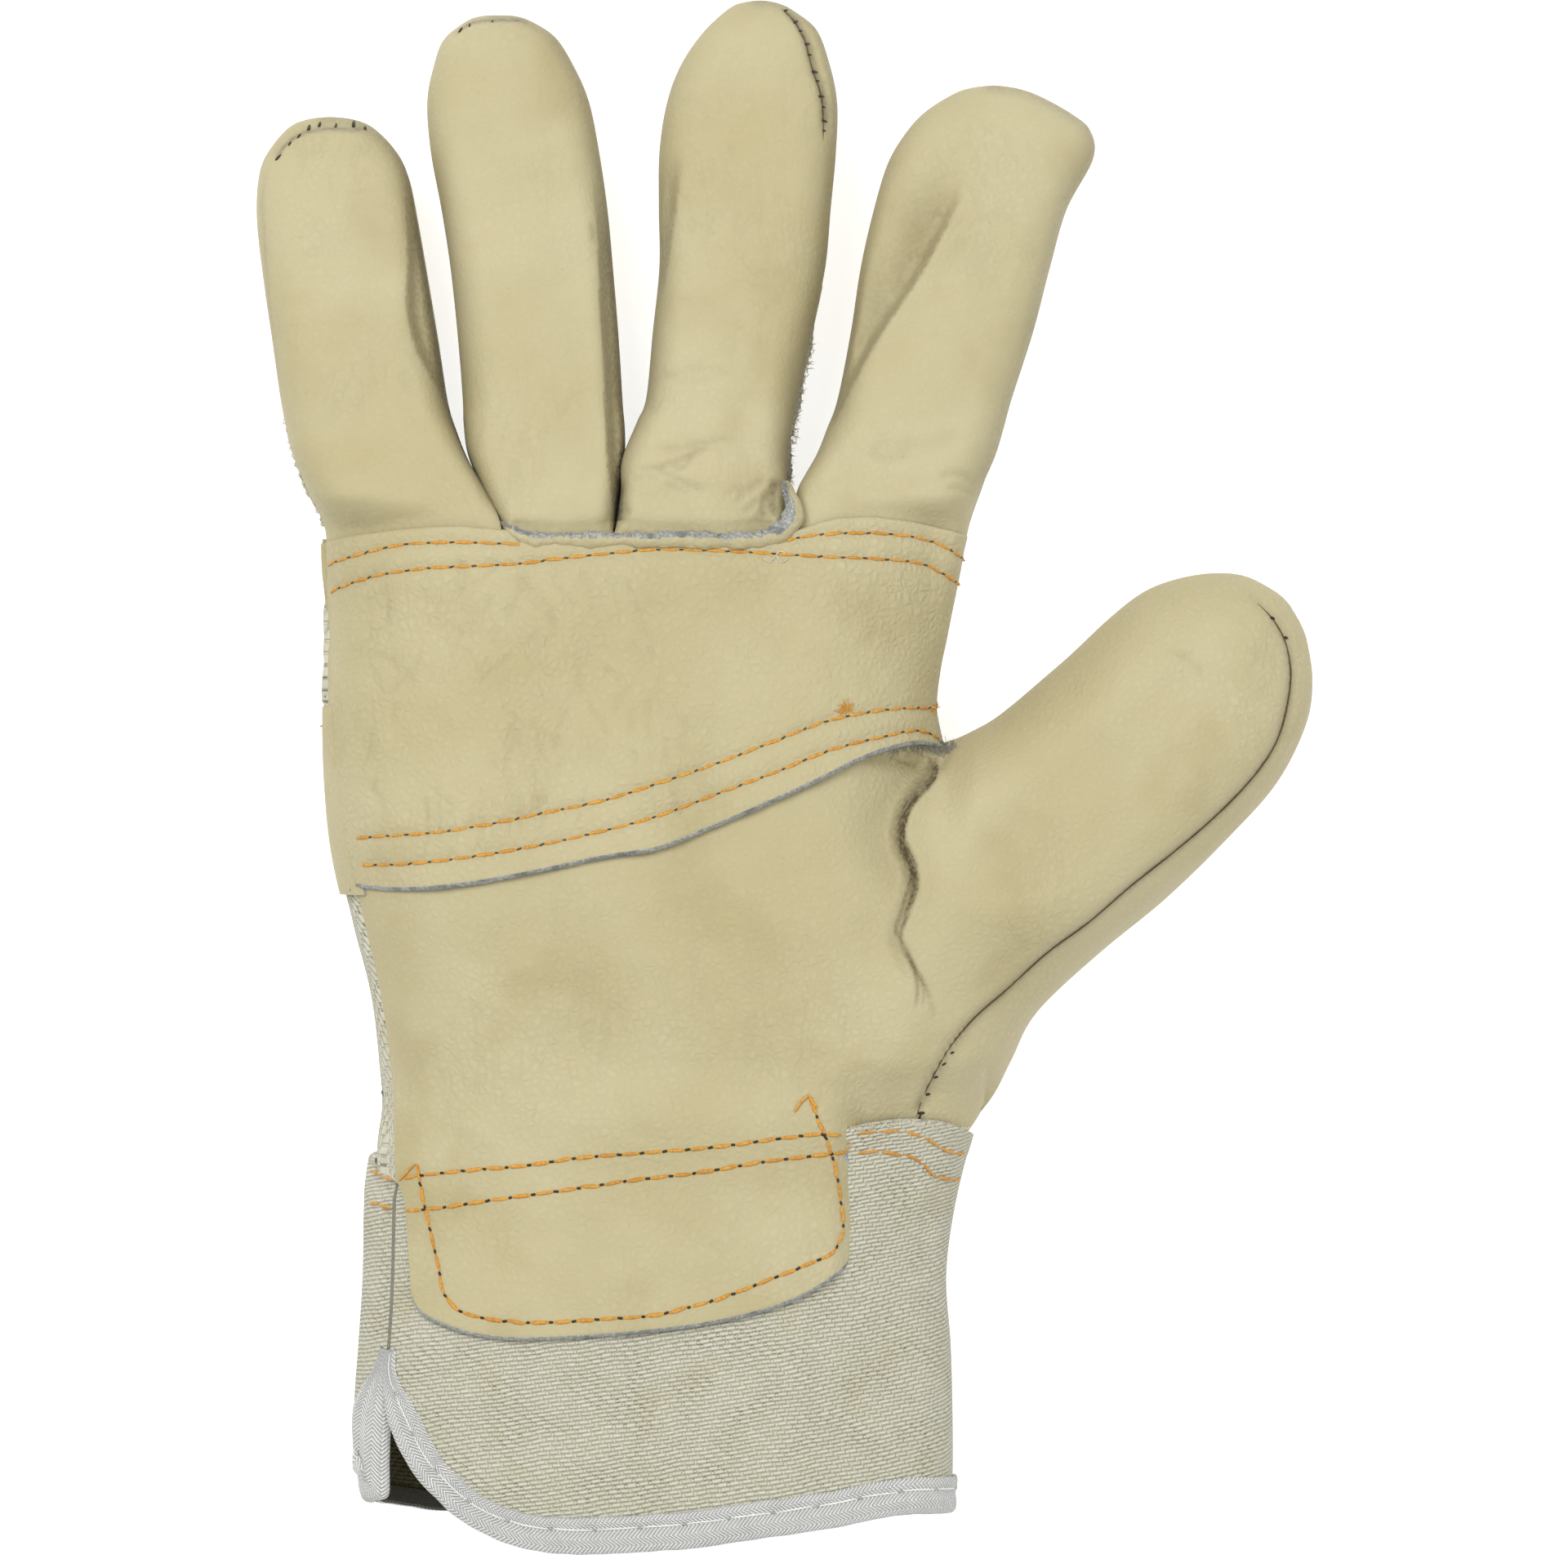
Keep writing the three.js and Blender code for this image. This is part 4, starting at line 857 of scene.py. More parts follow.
seamRows = {
    "row1Left": [(-77.2, 36.4), (-70.1, 38.1), (-63.8, 39.3), (-57.5, 39.6), (-43.5, 39.3)],
    "row1Right": [(-1.2, 39.6), (5.1, 40.8), (12.2, 41.2), (18.4, 41.1), (26.3, 39.6), (31.0, 37.1)],
    "row2": [(-76.7, 31.8), (-70, 33.8), (-60.6, 35.2), (-50.5, 35.7), (-43.4, 36.1), (-37.1, 36.9),
             (-29.4, 37.7), (-23.1, 38.3), (-11.4, 38.2), (0.3, 37.6), (6.6, 37.2), (16, 36.9),
             (23.9, 36.1), (30.0, 33)],
    "row3": [(-71.7, -9.8), (-66.6, -9.4), (-57.2, -8.7), (-47.8, -7.2), (-38.6, -5.3), (-29.2, -3.3),
             (-20.7, -0.6), (-11.3, 2.6), (-1.1, 6.5), (6.6, 9.5), (12.8, 11), (19.1, 11.9), (26.0, 12.2)],
    "row4": [(-70.9, -14.3), (-62.8, -14), (-52.6, -12.9), (-41.7, -11.1), (-30.7, -8.7), (-20.7, -6),
             (-10.5, -2.2), (-1.1, 1.3), (8.2, 5), (16, 7), (23.8, 8.1), (26.6, 6.9)],
}
# The seam rows sink a little and carry a faint painted shade, as do the wrinkles below
patchMarks += [fold(line, 1.0, 0.4, 0.06, 0.02, 0.02) for line in seamRows.values()]
patchMarks += [
    fold([(-45, 34), (-41, 30), (-37, 25)], 1.0, 0.3, 0.06),
    fold([(-43, 36), (-44, 31), (-47, 26)], 0.9, 0.28, 0.06),
    fold([(-34, 36), (-32, 31), (-31, 26)], 0.9, 0.25, 0.05),
    fold([(-38, 37), (-37, 32), (-33, 28)], 0.7, 0.2, 0.05),
    fold([(-74, 22), (-66, 20), (-60, 14)], 1.0, 0.22, 0.05),
    fold([(-73, 14), (-70, 6), (-66, 0)], 0.9, 0.2, 0.04),
    fold([(-69, 0), (-67, -4), (-66, -8)], 0.8, 0.25, 0.05),
    fold([(-60, -2), (-59, -8), (-60, -15)], 0.7, 0.25, 0.06),
    fold([(-56, -3), (-55, -9), (-56, -16)], 0.6, 0.2, 0.05),
    fold([(-50, 0), (-50, -6), (-51, -13)], 0.6, 0.2, 0.05),
    fold([(-46, 4), (-45, -3), (-46, -12)], 0.7, 0.22, 0.05),
    fold([(-41, 8), (-39, 2), (-40, -6)], 0.7, 0.18, 0.04),
    fold([(-27, 34), (-24, 26), (-26, 19)], 0.8, 0.16, 0.03),
    fold([(-20, 4), (-18, -2), (-17, -7)], 0.6, 0.14, 0.03),
]
patchRng = np.random.default_rng(51)
for _ in range(patch["wrinkles"]):
    # Fine wrinkles that run down the left half, each with a faint painted shade
    x, y = patchRng.uniform(-71, -16), patchRng.uniform(-8, 35)
    lean, reach = patchRng.normal(0, 0.45), patchRng.uniform(1.5, 4.5)
    way = np.array([math.sin(lean), math.cos(lean)]) * reach
    bow = patchRng.normal(0, 0.5)
    patchMarks.append(fold([(x - way[0], y - way[1]), (x + bow, y), (x + way[0], y + way[1])],
                           patchRng.uniform(0.5, 0.75), patchRng.uniform(0.12, 0.26), 0.07))


def patchTop(x, y):
    lift, dark = relief(x, y, patchMarks)
    soft = 0.25 * softNoise(x, y, 17, 21) + 0.1 * softNoise(x, y, 5, 22)
    return palmBase(x, y) + patch["gap"] + patch["height"] + lift + soft, dark


topParts = np.linspace(0, 1, patch["columns"])
patchLeftY = np.linspace(patchTopLine[0][1], patchBottomLine[0][1], 60)
patchLeft = np.column_stack([seamLeft(patchLeftY) + 0.2, patchLeftY])
patchTopDense = smoothLine([tuple(patchLeft[0])] + patchTopLine[1:])
patchBottomDense = smoothLine([tuple(patchLeft[-1])] + patchBottomLine[1:])
patchGrid = between(resample(patchTopDense, topParts), patchBottomDense, patchLeft,
                    smoothLine(patchRightLine), patch["rows"])
patchX, patchY = patchGrid[..., 0], patchGrid[..., 1]
patchZ, patchDark = patchTop(patchX, patchY)
patchSheet = withEdge(sheetOf(patchX, patchY, patchZ, patchDark), "last", rawSteps, True)
patchSheet = withEdge(patchSheet, "first", [(0.25, 0.12), (0.45, 0.45), (0.5, 1.2)], False)
patchSheet = withEdge(patchSheet, "left", [(0.2, 0.1), (0.35, 0.5), (0.3, 1.4)], False)
glovePatch = makePiece("patch_leather", [patchSheet], patch["wall"], [leatherPatch, rawEdge, inside])
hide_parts("palm_patch")
print("Patch done")


# Fingers: left x and y, right x and y, heights of the left edge, right edge, top and back,
# and the width of the left and the right side wall
fingers = {
    "little": [
        (-77.6, 35.5, -46.6, 35.5, 14.5, 28.5, 32.2, 1.8, 22, 3),
        (-78.0, 43.1, -47.3, 43.1, 14.5, 27.5, 31.3, 1.8, 19, 3.5),
        (-80.8, 49.3, -50.3, 49.3, 14.5, 26.0, 31.0, 1.8, 15, 3.5),
        (-83.1, 54.9, -53.4, 54.9, 14.6, 23.0, 30.4, 1.9, 12, 3.5),
        (-84.3, 59.5, -55.3, 59.5, 14.8, 18.5, 29.8, 2.0, 11, 4),
        (-85.3, 64.6, -56.9, 64.6, 15.0, 15.5, 29.3, 2.2, 10.5, 5),
        (-86.7, 74.4, -58.4, 74.4, 15.4, 15.4, 28.4, 2.8, 10, 6.5),
        (-88.1, 84.1, -60.0, 84.1, 15.8, 15.8, 27.8, 3.4, 10, 6.2),
        (-89.3, 95.2, -61.9, 95.2, 16.2, 16.2, 27.3, 4.4, 9.5, 6.2),
        (-88.8, 102.9, -63.5, 102.9, 16.5, 16.5, 26.8, 5.6, 9, 7),
        (-86.8, 107.3, -66.0, 107.3, 16.8, 16.8, 26.4, 6.4, 9, 8),
        (-83.6, 110.8, -69.7, 110.8, 17.1, 17.1, 26.2, 7.4, 9, 8),
        (-80.4, 112.1, -73.0, 112.1, 17.3, 17.3, 26.0, 8.0, 9, 8),
        (-76.9, 112.6, -76.9, 112.6, 17.4, 17.4, 26.0, 8.4, 9, 8)],
    "ring": [
        (-46.6, 40.5, -28.6, 40.5, 24.0, 25.0, 32.6, 1.8, 3, 3),
        (-48.0, 43.1, -28.3, 43.1, 22.0, 24.0, 32.3, 1.8, 3.5, 3.5),
        (-51.0, 49.3, -27.4, 49.3, 19.0, 22.5, 31.6, 1.8, 4, 4),
        (-53.4, 54.9, -26.6, 54.9, 16.0, 20.5, 31.0, 1.9, 5, 4.5),
        (-54.2, 60.0, -26.6, 60.0, 15.2, 18.0, 30.5, 1.9, 6, 4.6),
        (-54.4, 64.6, -27.0, 64.6, 15.0, 15.6, 30.1, 2.0, 7, 5),
        (-55.3, 75.8, -27.7, 75.8, 15.3, 15.3, 29.4, 2.4, 8, 5.2),
        (-56.5, 86.9, -28.6, 86.9, 15.6, 15.6, 28.7, 2.8, 8.5, 5.4),
        (-58.0, 96.6, -29.5, 96.6, 16.0, 16.0, 28.2, 3.4, 8.5, 6),
        (-59.8, 106.3, -30.9, 106.3, 16.4, 16.4, 27.9, 4.0, 8.5, 7),
        (-60.4, 114.7, -32.6, 114.7, 16.8, 16.8, 27.5, 5.0, 8.5, 8),
        (-59.3, 120.8, -35.2, 120.8, 17.0, 17.0, 27.2, 6.0, 8.5, 8.5),
        (-57.5, 125.5, -38.4, 125.8, 17.2, 17.2, 27.0, 7.0, 9, 9),
        (-53.7, 128.6, -42.6, 128.6, 17.5, 17.5, 26.8, 8.0, 9, 9),
        (-51.2, 129.5, -45.2, 129.5, 17.7, 17.7, 26.8, 8.4, 9, 9),
        (-48.2, 129.8, -48.2, 129.8, 17.8, 17.8, 26.8, 8.6, 9, 9)],
    "middle": [
        (-28.3, 40.5, 0.9, 40.5, 25.0, 27.0, 32.6, 1.8, 3, 3),
        (-28.1, 43.1, 0.6, 43.1, 24.0, 26.0, 32.3, 1.8, 3.5, 3),
        (-27.4, 48.7, 0.8, 49.3, 23.0, 22.0, 31.9, 1.8, 3.5, 3.5),
        (-27.3, 53.8, 1.0, 54.9, 21.5, 17.5, 31.3, 1.9, 4.5, 5),
        (-24.8, 60.5, 1.8, 60.0, 18.0, 15.5, 30.9, 1.9, 5, 5.5),
        (-23.3, 64.6, 2.7, 64.6, 15.6, 15.0, 30.5, 2.0, 5.5, 6),
        (-22.2, 75.8, 5.1, 75.8, 15.3, 15.3, 29.6, 2.4, 6, 7),
        (-21.1, 86.9, 7.4, 86.9, 15.6, 15.6, 28.9, 2.8, 6.5, 7.5),
        (-21.2, 96.6, 8.3, 96.6, 16.0, 16.0, 28.4, 3.4, 7, 8),
        (-21.1, 106.3, 9.2, 106.3, 16.4, 16.4, 28.0, 4.0, 8, 8),
        (-19.8, 114.7, 9.4, 114.7, 16.8, 16.8, 27.6, 5.0, 8.5, 8.5),
        (-17.3, 121.3, 8.0, 121.6, 17.0, 17.0, 27.3, 6.0, 8.5, 8.5),
        (-13.4, 126.9, 5.8, 127.2, 17.2, 17.2, 27.0, 7.0, 9, 9),
        (-9.1, 130.8, 1.9, 130.4, 17.5, 17.5, 26.8, 8.0, 9, 9),
        (-6.6, 131.8, -0.9, 131.7, 17.7, 17.7, 26.8, 8.4, 9, 9),
        (-3.7, 132.3, -3.7, 132.3, 17.8, 17.8, 26.8, 8.6, 9, 9)],
    "index": [
        (1.0, 35.5, 30.2, 35.5, 28.5, 14.5, 32.2, 1.8, 3, 20),
        (1.4, 43.1, 31.6, 43.1, 27.5, 14.5, 31.3, 1.8, 3.5, 18),
        (2.6, 49.3, 33.8, 49.3, 24.0, 14.5, 31.0, 1.8, 4, 15),
        (5.5, 54.9, 36.2, 54.9, 19.0, 14.6, 30.8, 1.8, 5, 12),
        (7.3, 59.5, 37.6, 59.5, 16.0, 14.8, 30.6, 1.9, 7, 11),
        (9.1, 64.6, 39.0, 64.6, 15.0, 15.0, 30.3, 2.0, 8, 10.5),
        (11.3, 75.8, 42.6, 75.8, 15.3, 15.3, 29.6, 2.4, 9, 10),
        (13.0, 86.9, 45.5, 86.9, 15.6, 15.6, 29.0, 2.9, 10, 10),
        (15.2, 96.6, 48.3, 96.6, 16.0, 16.0, 28.4, 3.6, 10, 10),
        (17.6, 104.5, 52.8, 105.2, 16.4, 16.4, 27.8, 4.6, 10, 10),
        (20.8, 109.8, 52.2, 110.1, 16.7, 16.7, 27.4, 5.8, 10, 9),
        (24.1, 113.3, 48.9, 113.0, 17.0, 17.0, 27.0, 7.0, 9.5, 9),
        (28.7, 116.2, 43.6, 115.9, 17.3, 17.3, 26.8, 8.0, 9, 9),
        (31.8, 117.3, 39.9, 117.2, 17.5, 17.5, 26.8, 8.4, 9, 9),
        (35.9, 117.9, 35.9, 117.9, 17.6, 17.6, 26.8, 8.6, 9, 9)],
}
fingerLines = {}
for name, rows in fingers.items():
    table = np.array(rows)
    dense = np.linspace(0, len(table) - 1, 300)
    sides = [smoothCurve(np.arange(len(table)), table[:, k])(dense) for k in range(4)]
    middleY = (table[:, 1] + table[:, 3]) / 2 + np.arange(len(table)) * 1e-6
    fingerLines[name] = {"left": np.column_stack(sides[:2]), "right": np.column_stack(sides[2:]),
                         "columns": [smoothCurve(middleY, table[:, k]) for k in range(10)]}


def fingerFields(name, x, y):
    parts = fingerLines[name]
    leftX, _, rightX, _, leftZ, rightZ, top, back, wallLeft, wallRight = [c(y) for c in parts["columns"]]
    across = smoothStep((x - leftX) / np.maximum(rightX - leftX, 1e-3))
    toLeft = depthInside(x, y, parts["left"], 1)
    toRight = depthInside(x, y, parts["right"], -1)
    wallLeft, wallRight = np.minimum(wallLeft, 7.5), np.minimum(wallRight, 7.5)
    return across, toLeft / wallLeft, toRight / wallRight, mix(leftZ, rightZ, across), top, back


tipSeams = {
    "little": fromPhoto([(337, 200), (342, 190), (352, 177), (365, 168), (380, 162), (403, 159),
                         (432, 160), (452, 158)], 23),
    "ring": fromPhoto([(556, 48), (563, 38), (575, 30), (600, 25), (630, 25), (655, 29)], 23),
    "middle": fromPhoto([(957, 9), (971, 23), (980, 38), (987, 54), (991, 71), (997, 92), (1003, 108),
                         (1007, 128), (1008, 147), (1008, 172)], 25),
}
# Side walls, tip seams, base wrinkles and the gaps between fingers; their dark values are painted shade, the
# broad ones on walls turned from the light
fingerMarks = {
    "little": [
        ledge(fromPhoto([(489, 190), (494, 240), (498, 312), (499, 393), (509, 429), (536, 478),
                         (556, 533)], 27), 1, 2.4, 1.1, 6.0, dark=0.06, lip=0.35, fadeIn=0.3,
              fadeOut=0.2, broad=0.27),
        ledge(tipSeams["little"], 1, 2.6, 0.7, 4.0, dark=0.35, lip=0.3, fadeIn=0.12, fadeOut=0.08),
        fold(tipSeams["little"], 0.6, 0.8, dark=0.3, fadeIn=0.1, fadeOut=0.1),
        fold(fromPhoto([(338, 196), (326, 231), (327, 294), (334, 392), (341, 448), (347, 500)], 19), 0.6,
             0.5, dark=0.14),
        fold(fromPhoto([(395, 652), (440, 644), (500, 641), (560, 642), (616, 646)], 32), 1.6, 0.9,
             dark=0.12),
        fold(fromPhoto([(405, 636), (450, 640), (500, 632), (540, 626)], 32), 0.9, 0.35, dark=0.1),
        fold(fromPhoto([(430, 560), (470, 580), (520, 600)], 31), 2.2, 0.3),
        dent(-68, 62, 5, 12, -15, 0.4), dent(-72, 52, 8, 4, 10, 0.4)],
    "ring": [
        ledge(fromPhoto([(718, 190), (723, 223), (732, 312), (734, 379), (739, 469), (743, 558),
                         (753, 640)], 28), 1, 2.6, 1.1, 6.0, dark=0.06, lip=0.4, fadeIn=0.3,
              fadeOut=0.02, broad=0.32),
        fold(fromPhoto([(767, 530), (765, 560), (762, 600), (758, 640)], 27), 1.5, 0.8, dark=0.95,
             fadeIn=0.5, fadeOut=0.02),
        ledge(tipSeams["ring"], 1, 1.6, 0.6, 4.0, dark=0.25, lip=0.2, fadeIn=0.15, fadeOut=0.15),
        fold(tipSeams["ring"], 0.5, 0.5, dark=0.3),
        fold(fromPhoto([(724, 270), (727, 285), (728, 300)], 27), 0.6, 0.3, dark=0.2),
        fold(fromPhoto([(624, 652), (680, 656), (750, 652)], 32), 1.8, 1.6, dark=0.25, fadeIn=0.05,
             fadeOut=0.05),
        dent(-46, 90, 5, 22, 2, 0.35), dent(-40, 55, 6, 12, 0, 0.3)],
    "middle": [
        ledge(fromPhoto([(840, 180), (834, 214), (825, 277), (816, 330), (808, 379)], 28), -1, 2.2, 1.3,
              5.0, dark=0.15, lip=0.35, fadeIn=0.35, fadeOut=0.25, broad=0.16),
        fold(fromPhoto([(765, 585), (759, 610), (757, 640)], 27), 0.9, 0.8, dark=0.8, fadeIn=0.4,
             fadeOut=0.02),
        ledge(tipSeams["middle"], 1, 2.8, 0.7, 4.0, dark=0.4, lip=0.3, fadeIn=0.1, fadeOut=0.2),
        fold(tipSeams["middle"], 0.6, 0.8, dark=0.45, fadeIn=0.08, fadeOut=0.15),
        fold(fromPhoto([(776, 572), (796, 574), (822, 568), (846, 556), (872, 546)], 31), 0.6, 0.4,
             dark=0.2),
        fold(fromPhoto([(822, 568), (834, 574), (843, 564), (849, 554)], 31), 0.6, 0.4, dark=0.18),
        fold(fromPhoto([(800, 570), (824, 584), (848, 596), (868, 606)], 31), 0.6, 0.4, dark=0.15),
        fold(fromPhoto([(812, 590), (832, 600), (848, 604)], 31), 0.5, 0.3, dark=0.15),
        fold(fromPhoto([(770, 588), (790, 584), (812, 588)], 31), 0.6, 0.25, dark=0.08),
        fold(fromPhoto([(800, 545), (830, 548), (864, 542), (892, 538), (906, 541)], 31), 0.7, 0.35,
             dark=0.15),
        fold(fromPhoto([(840, 556), (866, 548), (890, 550)], 31), 0.6, 0.22, dark=0.08),
        fold(fromPhoto([(786, 468), (820, 458), (862, 452), (908, 462)], 30), 0.9, 0.22, dark=0.06),
        fold(fromPhoto([(800, 452), (840, 466), (886, 462)], 30), 0.7, 0.2, dark=0.05),
        fold(fromPhoto([(820, 366), (860, 372), (902, 380)], 30), 0.8, 0.2, dark=0.04),
        fold(fromPhoto([(940, 584), (922, 597), (908, 606), (900, 620)], 31), 0.7, 0.5, dark=0.2),
        fold(fromPhoto([(912, 602), (904, 598), (888, 608)], 31), 0.6, 0.3, dark=0.1),
        fold(fromPhoto([(929, 610), (920, 620), (908, 630)], 30), 0.6, 0.4, dark=0.18),
        fold(fromPhoto([(941, 600), (934, 618), (936, 636)], 30), 0.8, 0.6, dark=0.3),
        fold(fromPhoto([(952, 586), (946, 606), (946, 622), (951, 636)], 29), 1.1, 1.0, dark=0.5),
        fold(fromPhoto([(762, 612), (766, 624), (774, 630)], 30), 0.6, 0.5, dark=0.2),
        fold(fromPhoto([(758, 620), (762, 632), (762, 642)], 30), 0.6, 0.5, dark=0.25),
        fold(fromPhoto([(758, 652), (830, 655), (905, 654), (950, 640)], 32), 1.8, 1.6, dark=0.25,
             fadeIn=0.05, fadeOut=0.05),
        dent(-10, 52, 8, 3, 10, -0.6), dent(-21, 52, 4, 4, 0, -0.8), dent(-8, 100, 6, 22, -4, 0.3)],
    "index": [
        ledge(fromPhoto([(1190, 196), (1184, 214), (1173, 250), (1151, 295), (1129, 335), (1106, 371),
                         (1071, 424), (1039, 482), (1018, 530)], 29),
              -1, 3.8, 1.0, 8.5, dark=0.12, lip=0.5, fadeIn=0.3, fadeOut=0.08, broad=0.2),
        fold(fromPhoto([(1000, 646), (1040, 634), (1080, 630), (1130, 636), (1184, 650)], 32), 1.6, 0.9,
             dark=0.1),
        fold(fromPhoto([(1060, 545), (1100, 550), (1150, 545), (1185, 530)], 31), 1.6, 0.45, dark=0.05),
        fold(fromPhoto([(1060, 556), (1090, 560), (1116, 552)], 31), 0.8, 0.3, dark=0.08),
        fold(fromPhoto([(1148, 585), (1170, 582), (1196, 592)], 28), 0.8, 0.4, dark=0.1),
        fold(fromPhoto([(1156, 596), (1180, 600), (1200, 604)], 28), 0.7, 0.35, dark=0.1),
        fold(fromPhoto([(1140, 268), (1150, 262), (1166, 264)], 28), 0.7, 0.3, dark=0.08),
        fold(fromPhoto([(1112, 318), (1124, 312), (1138, 318)], 27), 0.7, 0.3, dark=0.08),
        fold(fromPhoto([(1096, 352), (1108, 345), (1122, 347)], 27), 0.7, 0.3, dark=0.08),
        fold(fromPhoto([(1078, 392), (1086, 380), (1098, 374)], 27), 0.7, 0.3, dark=0.08),
        dent(38, 88, 6, 20, -12, 0.35), dent(44, 106, 6, 4, 0, -0.4), dent(26, 60, 9, 4, 15, 0.3)],
}


# Where a finger starts to rise out of the palm, and over which length
fingerStart = {"little": (48, 6.5), "index": (48, 6.5), "ring": (43, 2.5), "middle": (43, 2.5)}


def fingerTop(name, x, y):
    across, toLeft, toRight, edge, top, _ = fingerFields(name, x, y)
    lift, dark = relief(x, y, fingerMarks[name])
    seed = len(name) * 7
    soft = 0.2 * softNoise(x, y, 15, seed) + 0.07 * softNoise(x, y, 4.5, seed + 1)
    inner = smoothStep(np.minimum(toLeft, toRight) * 2.2)
    crown = 0.92 + 0.08 * (1 - (2 * across - 1) ** 2)
    z = (top - edge) * rise(toLeft, 2.5) * rise(toRight, 2.5) * crown
    z = edge + z + (lift + soft) * np.maximum(inner, 0.2)
    start, length = fingerStart[name]
    # Darker along the finger edges, most on the right side: partly dirt, partly painted shade
    edgeDirtAndShade = 0.3 * (1 - smoothStep(toRight * 2.4)) + 0.06 * (1 - smoothStep(toLeft * 2.4))
    dark = np.clip(dark + edgeDirtAndShade * smoothStep((y - 46) / 6), 0, 1)
    return mix(z, palmBase(x, y) + 0.25, smoothStep((start - y) / length)), dark


def fingerBack(name, x, y):
    _, toLeft, toRight, edge, _, back = fingerFields(name, x, y)
    deep = np.maximum(edge - (edge - back + 0.8) * rise(toLeft, 2.3) * rise(toRight, 2.3), back)
    onHand = smoothStep((51.5 - y) / 8.4)
    return mix(deep, handBack(x, y), onHand)


def fingerGrid(name, low, high, rowStep, columns, closeTip=True):
    # Rows from one height of the table to the other, finer towards the tip
    table = np.array(fingers[name])
    place = np.arange(len(table))
    middle = (table[:, 0:2] + table[:, 2:4]) / 2
    walked = np.r_[0, np.cumsum(np.maximum(np.linalg.norm(np.diff(middle, axis=0), axis=1), 1.6))]
    start, end = np.interp([low, high], middle[:, 1], walked)
    if closeTip:
        end = walked[-1]
    s = np.linspace(start, end, max(3, int((end - start) / rowStep) + 1))
    at = np.interp(s, walked, place)
    sides = [smoothCurve(place, table[:, k])(at)[:, None] for k in range(4)]
    u = np.linspace(0, 1, columns)[None, :]
    u = mix(u, (1 - np.cos(np.pi * u)) / 2, 0.6)
    return mix(sides[0], sides[2], u), mix(sides[1], sides[3], u)


def tucked(x, y, amount=0.5, rightMore=0.0):
    # Pulls the two edge columns of the walls in, so that front and back meet in a groove
    for edge, inner, more in ((0, 4, 0.0), (-1, -5, rightMore)):
        dx, dy = x[:, inner] - x[:, edge], y[:, inner] - y[:, edge]
        length = np.maximum(np.hypot(dx, dy), 1e-6)
        pull = amount + more * smoothStep((y[:, edge] - 47) / 4) * smoothStep((86 - y[:, edge]) / 8)
        move = np.minimum(pull, 0.75 * length) / length * smoothStep((y[:, edge] - 49) / 6)
        x[:, edge] += dx * move
        y[:, edge] += dy * move
    return x, y


fingerCut = {"wall": 1.6, "frontStep": 0.55, "frontColumns": 66, "backStep": 1.1, "backColumns": 30}
# Where the canvas back ends and the leather tip begins, and where each front begins
jointY = {"little": 74.4, "ring": 75.8, "middle": 75.8}
baseY = {"little": 35.5, "ring": 40.5, "middle": 40.5, "index": 35.5}
for name in fingers:
    x, y = fingerGrid(name, baseY[name], 0, fingerCut["frontStep"], fingerCut["frontColumns"])
    z, dark = fingerTop(name, x, y)
    x, y = tucked(x, y, 0.5, 0.8 if name == "middle" else 0.0)
    piece = makePiece(name + "_front_leather", [sheetOf(x, y, z, dark)], fingerCut["wall"], fingerSet)
    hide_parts(name + "_finger_front")
    low = jointY.get(name, 43.5)
    x, y = fingerGrid(name, low, 0, fingerCut["backStep"] * 0.8, fingerCut["backColumns"])
    z = fingerBack(name, x, y) - (0.35 if name in jointY else 0.0)
    x, y = tucked(x, y)
    tip = name + ("_fingertip_back" if name in jointY else "_finger_back")
    tipSheet = withEdge(sheetOf(x, y, z), "first", [(0.3, -0.2), (0.5, -0.9)], False)
    piece = makePiece(name + "_back_leather", [tipSheet], fingerCut["wall"], fingerSet)
    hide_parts(tip)
print("Fingers done")


# Canvas back of the hand with the lower half of three fingers; its left side shows beside the palm leather
back = {"wall": 1.2, "topY": 43.1, "upperRows": 56, "lowerRows": 62, "wrapColumns": 12,
        "fingerColumns": 30}
fingerBases = [(-78.0, -47.1), (-47.1, -28.3), (-28.3, 0.95), (0.95, 31.6)]
columnX = [fingerBases[0][0]]
for left, right in fingerBases:
    u = np.linspace(0, 1, back["fingerColumns"])[1:]
    columnX += list(mix(left, right, mix(u, (1 - np.cos(np.pi * u)) / 2, 0.6)))
backAcross = (np.array(columnX) - fingerBases[0][0]) / (fingerBases[-1][1] - fingerBases[0][0])
backParts = np.r_[np.linspace(0, 1, back["upperRows"])[:-1], 1 + np.linspace(0, 1, back["lowerRows"])]
backX, backY = handGrid(backAcross, backParts, back["topY"], handLeft)
backZ = handBack(backX, backY) + 0.12 * softNoise(backX, backY, 20, 31)
# A strip that comes round the side and shows between the palm and the outline
wrap = np.linspace(1, 0, back["wrapColumns"])[None, :] ** 1.6
wrapY = np.repeat(backY[:, :1], back["wrapColumns"], axis=1)
wrapFrom = np.maximum(seamLeft(wrapY) + 0.5, handLeft(wrapY) + 0.3)
wrapX = mix(handLeft(wrapY), wrapFrom, wrap)
wrapZ = mix(palmBase(wrapX, wrapY) - 0.3, backZ[:, :1], (1 - wrap) ** 14)
bulge = smoothStep((wrapY - 11) / 3) * smoothStep((34 - wrapY) / 6)
wrapX = wrapX - 1.3 * bulge * np.sin(math.pi * wrap ** 0.5) * (1 + 0.15 * softNoise(wrapX, wrapY, 4, 71))
wrapX[:, -1], wrapZ[:, -1] = backX[:, 0], backZ[:, 0]
handCloth = lambda x, y, z: np.stack([x + np.maximum(z - 4, 0) * -0.8, y, z * 0], axis=-1)
wrapCloth = np.stack([wrapY, wrapX - wrapZ * 0.8, wrapZ * 0], axis=-1)
